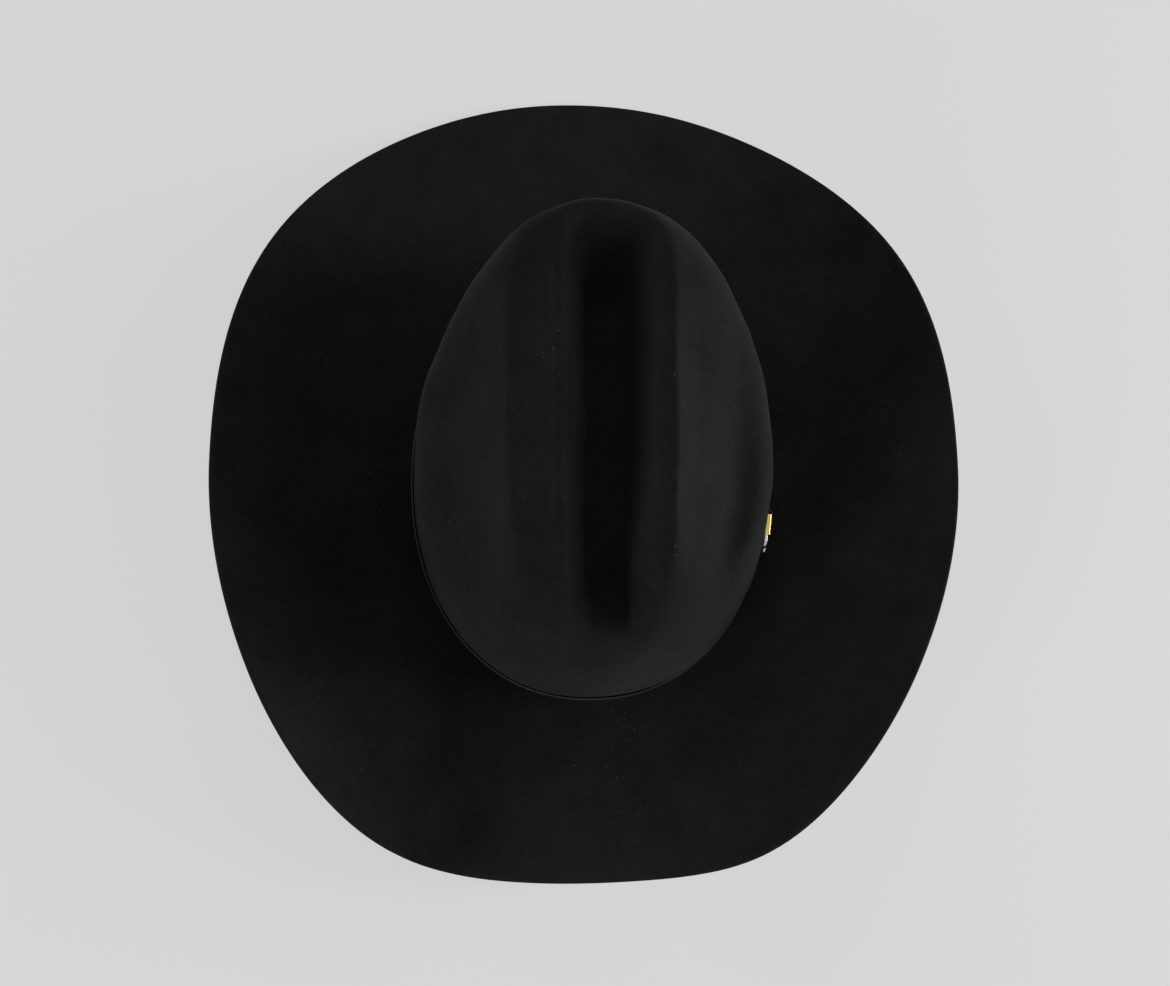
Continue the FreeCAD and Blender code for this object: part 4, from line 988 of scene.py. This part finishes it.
pieces = []
for side in (1, -1):
    turns = np.linspace(-math.pi, math.pi, 41)
    reach = (1 + np.cos(turns)) / 2
    half = (BOW_LOOP - RIBBON) / 2 - 0.1
    loop = np.column_stack([side * (0.6 + reach * (BOW_WIDTH / 2 - 1.1)),
                            half * np.sin(turns) * (0.35 + 0.65 * reach), 0.15 * np.sin(3 * turns)])
    pieces.append(ribbon("bow_loop", tied(loop, side), (0, 0, 1), satin, 2.4 + 1.5 * reach ** 0.5))
    fall = np.linspace(0, 1, 17)
    spread = math.radians(BOW_TAIL_SPREAD)
    wave = 0.25 * np.sin(fall * 5 + side) - BOW_LOOP / 2 + RIBBON + 0.25
    tail = np.column_stack([side * math.sin(spread) * BOW_TAIL * fall, wave,
                            -math.cos(spread) * BOW_TAIL * fall])
    width = (math.cos(spread), 0, side * math.sin(spread))
    pieces.append(ribbon("bow_tail", tied(tail, 0), width, satin, 2.2 + 1.7 * ease(fall * 3), 0.5))
rings = []
for share in np.linspace(-1, 1, 15):
    bulge = (1 - 0.25 * share ** 4) * (1 + 0.05 * math.cos(share * 14))
    spin = np.linspace(0, 2 * math.pi, 24, endpoint=False)
    y, z = oval_ring(BOW_LOOP / 2 * bulge, (RIBBON_WIDTH / 2 + RIBBON) * bulge, 3.0, spin)
    rings.append(tied(np.column_stack([np.full(24, share * KNOT_WIDTH / 2), y, z]), 0))
pieces.append(skin("bow_knot", rings, satin))
bow = joined("ribbon_bow", pieces, satin)
finish_piece(bow, "hat", ["sweatband_bow"])

# %% [markdown]
# ## Hat band
#
# The band is one narrow strap. It starts folded round the hinge bar of the buckle, runs once
# round the foot of the crown, comes back through the buckle over its own start, and ends in a
# metal tip. Its middle line is a list of places, distance along the crown and distance out, eased
# from one hold to the next. The section is carried along it, with rubbed edges and the shallow
# crease that a harness maker presses beside each edge, and the slots for the prong are cut out.

# %% The line of the strap
STRAP_WIDTH, STRAP, STRAP_BOTTOM, BUCKLE_PLACE = 12.0, 1.0, 4.0, -24.5
FRAME_LENGTH, FRAME_BAR, FRAME_LIFT, HINGE_PLACE, HINGE_RADIUS = 16.6, 1.8, 2.6, 6.2, 0.7
PRONG_WIDTH, PRONG_PLAY, SLOT_ROOM = 2.0, 0.06, 0.6
HOLE_FRONT, HOLE_BACK, FOLD_SLOT, LAP_GAP, FOLD_END = -2.6, 5.7, 2.1, 0.3, 12.4
STRAP_SETTLE, OVER_HINGE, STRAP_MIDDLE = 0.5, 1.8, STRAP_BOTTOM + STRAP_WIDTH / 2
KEEPER_PLACE, KEEPER_WIDTH, KEEPER, KEEPER_ROOM, KEEPER_TRAVEL = 16.6, 4.4, 0.6, 0.2, 1.4
TIP_PLACE, TIP_COVER, TIP_WALL, TIP_ROOM = 22.4, 7.0, 0.4, 0.12
FOLD_RADIUS = HINGE_RADIUS + PRONG_PLAY + STRAP / 2
STRAP_BASE, LAP, FRAME_END = GAP + STRAP / 2, STRAP + LAP_GAP, FRAME_LENGTH / 2
KEPT_BASE = GAP + KEEPER + KEEPER_ROOM + STRAP / 2
TIP_LIFT = KEPT_BASE + STRAP + TIP_WALL + TIP_ROOM + KEEPER_ROOM
TIP_END = TIP_PLACE + TIP_COVER
start = math.asin(BUCKLE_PLACE / OVAL_A)
for _ in range(20):
    start -= (oval_point(np.array(start))[1] - BUCKLE_PLACE) / OVAL_A
WALL = oval_point(start + np.arange(1441) * 2 * math.pi / 1440)
ALONG = np.concatenate([[0], np.cumsum(np.linalg.norm(np.diff(WALL, axis=0), axis=1))])
GIRTH = ALONG[-1]


def wall_place(along):
    """Point of the wall at a distance along it, with its run and its way out."""
    along = float(along) % GIRTH
    i = min(int(np.searchsorted(ALONG, along, side="right")), 1440)
    run = unit(WALL[i] - WALL[i - 1])
    point = WALL[i - 1] + run * (along - ALONG[i - 1])
    return np.array([*point, 0.0]), np.array([*run, 0.0]), np.array([run[1], -run[0], 0.0])


def eased(stops, at):
    for (low_at, low), (high_at, high) in zip(stops, stops[1:]):
        if at <= high_at:
            return between(float(ease((at - low_at) / (high_at - low_at))), low, high)
    return stops[-1][1]


keeper_from = KEEPER_PLACE - KEEPER_WIDTH / 2 - KEEPER_TRAVEL
keeper_to = KEEPER_PLACE + KEEPER_WIDTH / 2 + KEEPER_TRAVEL
folded = [(HINGE_PLACE, FRAME_LIFT - FOLD_RADIUS), (FOLD_END - 2 * STRAP, STRAP_BASE)]
begin = [(HINGE_PLACE, FRAME_LIFT + FOLD_RADIUS), (FOLD_END, STRAP_BASE + STRAP + 2 * SNUG),
         (keeper_from + STRAP_SETTLE, KEPT_BASE), (keeper_to + STRAP_SETTLE, KEPT_BASE),
         (TIP_END, STRAP_BASE)]
over_top = FRAME_LIFT + FOLD_RADIUS + LAP
finish = [(FRAME_BAR - FRAME_END, STRAP_BASE), (HINGE_PLACE - OVER_HINGE, over_top),
          (HINGE_PLACE + OVER_HINGE, over_top), (keeper_from + STRAP_SETTLE, KEPT_BASE + LAP),
          (keeper_to, KEPT_BASE + LAP), (TIP_PLACE, TIP_LIFT)]
line = [(a, eased(folded, a)) for a in [FOLD_END] + steps(FOLD_END, HINGE_PLACE, 10)]
for swing in np.radians(steps(0, 180, 14)[:-1]):
    line.append((HINGE_PLACE - FOLD_RADIUS * math.sin(swing),
                 FRAME_LIFT - FOLD_RADIUS * math.cos(swing)))
line += [(a, eased(begin, a)) for a in [HINGE_PLACE] + steps(HINGE_PLACE, TIP_END, 44)]
line += [(a, STRAP_BASE) for a in steps(TIP_END, GIRTH - 2 * FRAME_END, 220)]
line += [(a + GIRTH, eased(finish, a)) for a in steps(-2 * FRAME_END, TIP_END, 96)]
line = np.array(line)
print("strap %.0f mm long" % np.linalg.norm(np.diff(line, axis=0), axis=1).sum())

# %% The strap
EDGE_CREASE, CREASE_DEEP, CREASE_WIDE, RUBBED = 1.1, 0.12, 0.16, 0.35


def strap_section():
    """(across, out) corners of the strap: rubbed edges, and a pressed crease near each."""
    half, thick = STRAP_WIDTH / 2, STRAP / 2
    pressed = half - EDGE_CREASE
    places = [share * (half - RUBBED) for share in np.linspace(-1, 1, 25)]
    places += [side * (pressed + aside) for side in (1, -1) for aside in (-0.15, 0, 0.15)]
    face = [(a, thick - CREASE_DEEP * math.exp(-((pressed - abs(a)) / CREASE_WIDE) ** 2))
            for a in sorted(places)]
    turns = np.radians([67, 45, 22, 0, -22, -45, -67])
    edge = [(half - RUBBED + RUBBED * math.cos(t), thick * math.sin(t)) for t in turns]
    back = [(half - RUBBED - i * (STRAP_WIDTH - 2 * RUBBED) / 6, -thick) for i in range(7)]
    other = [(-a, b) for a, b in reversed(edge)]
    return face + edge + back + other


section = np.array(strap_section())
rings = []
for i, (along, out) in enumerate(line):
    before, after = line[max(0, i - 1)], line[min(len(line) - 1, i + 1)]
    slope_run, slope_rise = (after - before) / np.linalg.norm(after - before)
    ring = []
    for across, lift in section:
        point, _, outwards = wall_place(along - lift * slope_rise)
        ring.append(point + outwards * (out + lift * slope_run) + UPRIGHT * (STRAP_MIDDLE + across))
    rings.append(ring)
strap = skin("strap", rings, strap_leather, "flat")


def slot_block(name, low_at, high_at, low, high, width):
    """Block for one slot, in the axes of the hinge."""
    point, run, outwards = wall_place(HINGE_PLACE)
    half = width / 2
    corners = [point + run * (a - HINGE_PLACE) + UPRIGHT * (STRAP_MIDDLE + w) + outwards * o
               for o in (low, high)
               for a, w in ((low_at, -half), (high_at, -half), (high_at, half), (low_at, half))]
    sides = [(i, (i + 1) % 4, (i + 1) % 4 + 4, i + 4) for i in range(4)]
    faces = [(0, 3, 2, 1), (4, 5, 6, 7)] + sides
    return placed(name, new_mesh(name, on_table(corners), faces=faces))


slot_width = PRONG_WIDTH + 2 * SLOT_ROOM
over_hinge = FRAME_LIFT + FOLD_RADIUS + STRAP / 2 + LAP_GAP / 2
blocks = [slot_block("fold_slot", HINGE_PLACE - 2 * FOLD_RADIUS, HINGE_PLACE + FOLD_SLOT, 0.0,
                     over_hinge, slot_width),
          slot_block("tail_slot", HOLE_FRONT, HOLE_BACK, -FELT, 3 * FRAME_LIFT, slot_width)]


def baked(piece):
    """Give the piece its evaluated mesh and remove its modifiers."""
    depsgraph = bpy.context.evaluated_depsgraph_get()
    mesh = bpy.data.meshes.new_from_object(piece.evaluated_get(depsgraph))
    old = piece.data
    piece.modifiers.clear()
    piece.data = mesh
    bpy.data.meshes.remove(old)


for block in blocks:
    cut = strap.modifiers.new(block.name, "BOOLEAN")
    cut.operation, cut.object, cut.solver = "DIFFERENCE", block, "EXACT"
bpy.context.view_layer.update()
baked(strap)
for block in blocks:
    bpy.data.objects.remove(block)
finish_piece(strap, "hat", ["hat_band"])

# %% Keeper
point, run, outwards = wall_place(KEEPER_PLACE)
middle = point + UPRIGHT * STRAP_MIDDLE
deep = 2 * STRAP + LAP_GAP + 2 * KEEPER_ROOM
wide = STRAP_WIDTH + 2 * KEEPER_ROOM
loop = []
for turn in np.linspace(0, 2 * math.pi, 96, endpoint=False):
    up_share, out_share = oval_ring((wide + KEEPER) / 2, (deep + KEEPER) / 2, 14.0, turn)
    loop.append((float(up_share), float(out_share) + GAP + KEEPER + deep / 2))
loop = np.array(loop)
turned_in = np.roll(loop, -1, 0) - np.roll(loop, 1, 0)
normal = unit(np.stack([turned_in[:, 1], -turned_in[:, 0]], -1))
rings = []
for (up_at, out_at), (up_way, out_way) in zip(loop, normal):
    ring = []
    for share, lift in ((-1, -0.6), (-0.9, -1), (0, -1), (0.9, -1), (1, -0.6),
                        (1, 0.6), (0.92, 1), (0.5, 1), (0, 1), (-0.5, 1), (-0.92, 1), (-1, 0.6)):
        thick = KEEPER / 2 * lift * 0.96
        ring.append(middle + run * share * KEEPER_WIDTH / 2 + UPRIGHT * (up_at + up_way * thick) +
                    outwards * (out_at + out_way * thick))
    rings.append(ring)
keeper = skin("keeper_loop", rings, strap_leather, "joined")
finish_piece(keeper, "keeper", ["band_keeper"])

# %% [markdown]
# ## Stitches
#
# A hat is sewn in three places that show: the tape is sewn to the foot of the leather, the butt
# joint is closed with crossing stitches, and the side of the lining is sewn to its tip beside the
# cord. Hundreds of stitches could be modelled one by one, but they only repeat along a path, so a
# Geometry Nodes tree does it: it resamples the path at the stitch pitch, lays a small thread on
# each point along the path and against the surface, turns each by a little random angle, and
# makes them real.

# %% Geometry Nodes: a row of stitches


def stitch_row_tree():
    tree = bpy.data.node_groups.new("stitch_row", "GeometryNodeTree")
    sockets = {"Path": new_socket(tree, "Path", "INPUT", "Geometry")}
    for label, value in (("Pitch", 0.003), ("Length", 0.002), ("Thickness", 0.0005), ("Slant", 0.0),
                         ("Unevenness", 0.09)):
        sockets[label] = new_socket(tree, label, "INPUT", "Float", value)
    for label, kind in (("Seed", "Int"), ("Thread", "Material")):
        sockets[label] = new_socket(tree, label, "INPUT", kind)
    new_socket(tree, "Stitches", "OUTPUT", "Geometry")
    given, told = inside_of(tree)
    curve = add_node(tree, "GeometryNodeMeshToCurve", {"Mesh": given["Path"]}).outputs[0]
    places = add_node(tree, "GeometryNodeResampleCurve", {"Curve": curve, "Length": given["Pitch"]},
                      mode="LENGTH").outputs[0]
    out = add_node(tree, "GeometryNodeInputNamedAttribute", {"Name": "out"},
                   data_type="FLOAT_VECTOR").outputs["Attribute"]
    run = add_node(tree, "GeometryNodeInputTangent").outputs[0]
    align = "FunctionNodeAlignRotationToVector"
    along = add_node(tree, align, {"Vector": run}, axis="X").outputs[0]
    lying = add_node(tree, align, {"Rotation": along, "Vector": out}, axis="Z",
                     pivot_axis="X").outputs[0]
    least = math_node(tree, "MULTIPLY", given["Unevenness"], -1.0)
    random = add_node(tree, "FunctionNodeRandomValue", data_type="FLOAT")
    floats = [s for s in random.inputs if s.type == "VALUE" and s.enabled]
    tree.links.new(least, floats[0])
    tree.links.new(given["Unevenness"], floats[1])
    tree.links.new(given["Seed"], random.inputs["Seed"])
    chance = [s for s in random.outputs if s.type == "VALUE" and s.enabled][0]
    angle = math_node(tree, "ADD", given["Slant"], chance)
    swing = add_node(tree, "FunctionNodeAxisAngleToRotation",
                     {"Axis": (0, 0, 1), "Angle": angle}).outputs[0]
    turn = add_node(tree, "FunctionNodeRotateRotation", {"Rotation": lying, "Rotate By": swing},
                    rotation_space="LOCAL").outputs[0]
    bead = add_node(tree, "GeometryNodeMeshUVSphere", {"Segments": 8, "Rings": 6, "Radius": 0.5})
    sides = add_node(tree, "ShaderNodeCombineXYZ", {"X": given["Length"], "Y": given["Thickness"],
                                                    "Z": given["Thickness"]}).outputs[0]
    shaped = add_node(tree, "GeometryNodeTransform", {"Geometry": bead.outputs["Mesh"],
                                                      "Scale": sides}).outputs[0]
    soft = add_node(tree, "GeometryNodeSetShadeSmooth", {"Geometry": shaped}).outputs[0]
    laid = add_node(tree, "GeometryNodeInstanceOnPoints", {"Points": places, "Instance": soft,
                                                           "Rotation": turn}).outputs[0]
    real = add_node(tree, "GeometryNodeRealizeInstances", {"Geometry": laid}).outputs[0]
    dyed = add_node(tree, "GeometryNodeSetMaterial",
                    {"Geometry": real, "Material": given["Thread"]}).outputs[0]
    tree.links.new(dyed, told[0])
    return tree, {label: socket.identifier for label, socket in sockets.items()}


stitch_tree, stitch_inputs = stitch_row_tree()
print("stitch tree:", len(stitch_tree.nodes), "nodes, inputs", sorted(stitch_inputs))

# %% Sew the rows


def row(name, points, outs, closed=True, **values):
    """Stitches along points, in break millimetres, that lie against a surface facing outs."""
    count = len(points)
    edges = [(i, (i + 1) % count) for i in range(count if closed else count - 1)]
    mesh = new_mesh(name, on_table(points), edges)
    facing = mesh.attributes.new("out", "FLOAT_VECTOR", "POINT")
    facing.data.foreach_set("vector", turned(outs).ravel())
    piece = placed(name, mesh)
    sewing = piece.modifiers.new("stitches", "NODES")
    sewing.node_group = stitch_tree
    for label, value in {"Thread": thread, **values}.items():
        sewing[stitch_inputs[label]] = value
    piece.data.update()
    bpy.context.view_layer.update()
    baked(piece)
    return piece


def inside_wall(z, depth):
    """Ring inside the crown at a height and depth, with its directions towards the head."""
    near, far = wall_point(z, depth, fine), wall_point(z, depth + 1, fine)
    return near, unit(far - near)


rows = []
places, faces_in = inside_wall(TAPE_TOP - 1.3, REED_DEPTH + outer_wrap + 0.05)
rows.append(row("tape_stitches", places, faces_in, Pitch=0.0032, Length=0.0023,
                Thickness=0.00045, Seed=3))
places, faces_in = inside_wall(TAPE_TOP + 2.2, leather_depth(TAPE_TOP + 2.2) + LEATHER + 0.02)
rows.append(row("leather_stitches", places, faces_in, Pitch=0.0032, Length=0.0021,
                Thickness=0.0004, Seed=5))
heights = np.linspace(TAPE_TOP + 4, SWEATBAND_TOP - 2.5, 40)
seam = np.array([wall_point(z, leather_depth(z) + LEATHER + 0.1, np.array([math.pi / 2]))[0]
                 for z in heights])
for number, slant in enumerate((0.75, -0.75)):
    rows.append(row("joint_stitches", seam, np.tile([0, -1.0, 0], (40, 1)), closed=False,
                    Pitch=0.0021, Length=0.0036, Thickness=0.00045, Slant=slant, Seed=7 + number))
below = SEAM_STATION + 0.011
places = felt_point(below, fine) - felt_normal(below, fine) * (LINING_INSIDE + 0.75)
rows.append(row("lining_stitches", places, -felt_normal(below, fine), Pitch=0.0027, Length=0.0016,
                Thickness=0.00035, Seed=11))
stitches = joined("stitches", rows, thread)
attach(stitches, "hat")
print("stitches:", len(stitches.data.polygons), "faces")

# %% [markdown]
# ## Stage, light and camera
#
# The hat lies on a pale table under soft studio light, seen from almost straight above.

# %% Floor
FLOOR_HALF, PALE, PALE_GLOW, GLOW_SHARE = 6.0, (0.68, 0.68, 0.68, 1), (0.69, 0.69, 0.69, 1), 0.8
corners = [(FLOOR_HALF * x, FLOOR_HALF * y, 0) for x, y in ((-1, -1), (1, -1), (1, 1), (-1, 1))]
floor = placed("floor", new_mesh("floor", corners, faces=[(0, 1, 2, 3)]))
paper, tree, surface = new_material("pale_paper", Roughness=0.9, Base_Color=PALE)
glow = add_node(tree, "ShaderNodeEmission", {"Color": PALE_GLOW, "Strength": 1.0})
share = math_node(tree, "MULTIPLY", looked_at(tree), GLOW_SHARE)
mix = add_node(tree, "ShaderNodeMixShader", {0: share, 1: surface.outputs[0], 2: glow.outputs[0]})
tree.links.new(mix.outputs[0], tree.nodes["Material Output"].inputs["Surface"])
floor.data.materials.append(paper)
floor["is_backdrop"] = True

# %% World and lamps
WORLD_LIGHT, WORLD_SHOWN = 0.35, 0.69
LAMP_SIZE, LAMP_AIM = 0.5, Vector((0, 0, 0.08))
world = bpy.data.worlds.new("studio")
bpy.context.scene.world = world
world.use_nodes = True
tree = world.node_tree
strength = ranged(tree, looked_at(tree), 0.0, 1.0, WORLD_LIGHT, WORLD_SHOWN)
set_inputs(tree, tree.nodes["Background"], {"Color": (1, 1, 1, 1), "Strength": strength})
for name, place, power in (("right", (1.49, 0.0, 0.29), 20.0),
                           ("high_right", (1.23, 0.0, 0.94), 6.0),
                           ("front_left", (-1.04, -1.04, 0.39), 14.0),
                           ("back_left", (-1.04, 1.04, 0.39), 2.7),
                           ("behind", (0.0, 1.15, 1.04), 3.0)):
    light = bpy.data.lights.new(name, "AREA")
    light.shape, light.size, light.energy = "SQUARE", LAMP_SIZE, power
    holder = placed(name, light)
    holder.location = place
    holder.rotation_euler = (LAMP_AIM - holder.location).to_track_quat("-Z", "Y").to_euler()

# %% Camera
EYE, AIM = (-51.56, -85.71, 591.60), (0.0, 0.0, 0.0)
eye, aim = (Vector(on_table([p])[0]) for p in (EYE, AIM))
back = (eye - aim).normalized()
right = Vector((0, 1, 0)).cross(back).normalized()
up = back.cross(right)
camera_data = bpy.data.cameras.new("camera")
camera_data.lens, camera_data.sensor_width = 37.0, 36.0
camera_data.shift_x, camera_data.shift_y = -0.0020, -0.0071
camera = placed("camera", camera_data)
camera.matrix_world = Matrix((right, up, back)).transposed().to_4x4()
camera.location = eye
bpy.context.scene.camera = camera
bpy.context.scene.view_settings.view_transform = "Standard"

# %% Measure and finish
boxes = {"cad": cad_box, "visual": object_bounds()}
plain = {name: [[float(v) for v in corner] for corner in box] for name, box in boxes.items()}
print(plain)
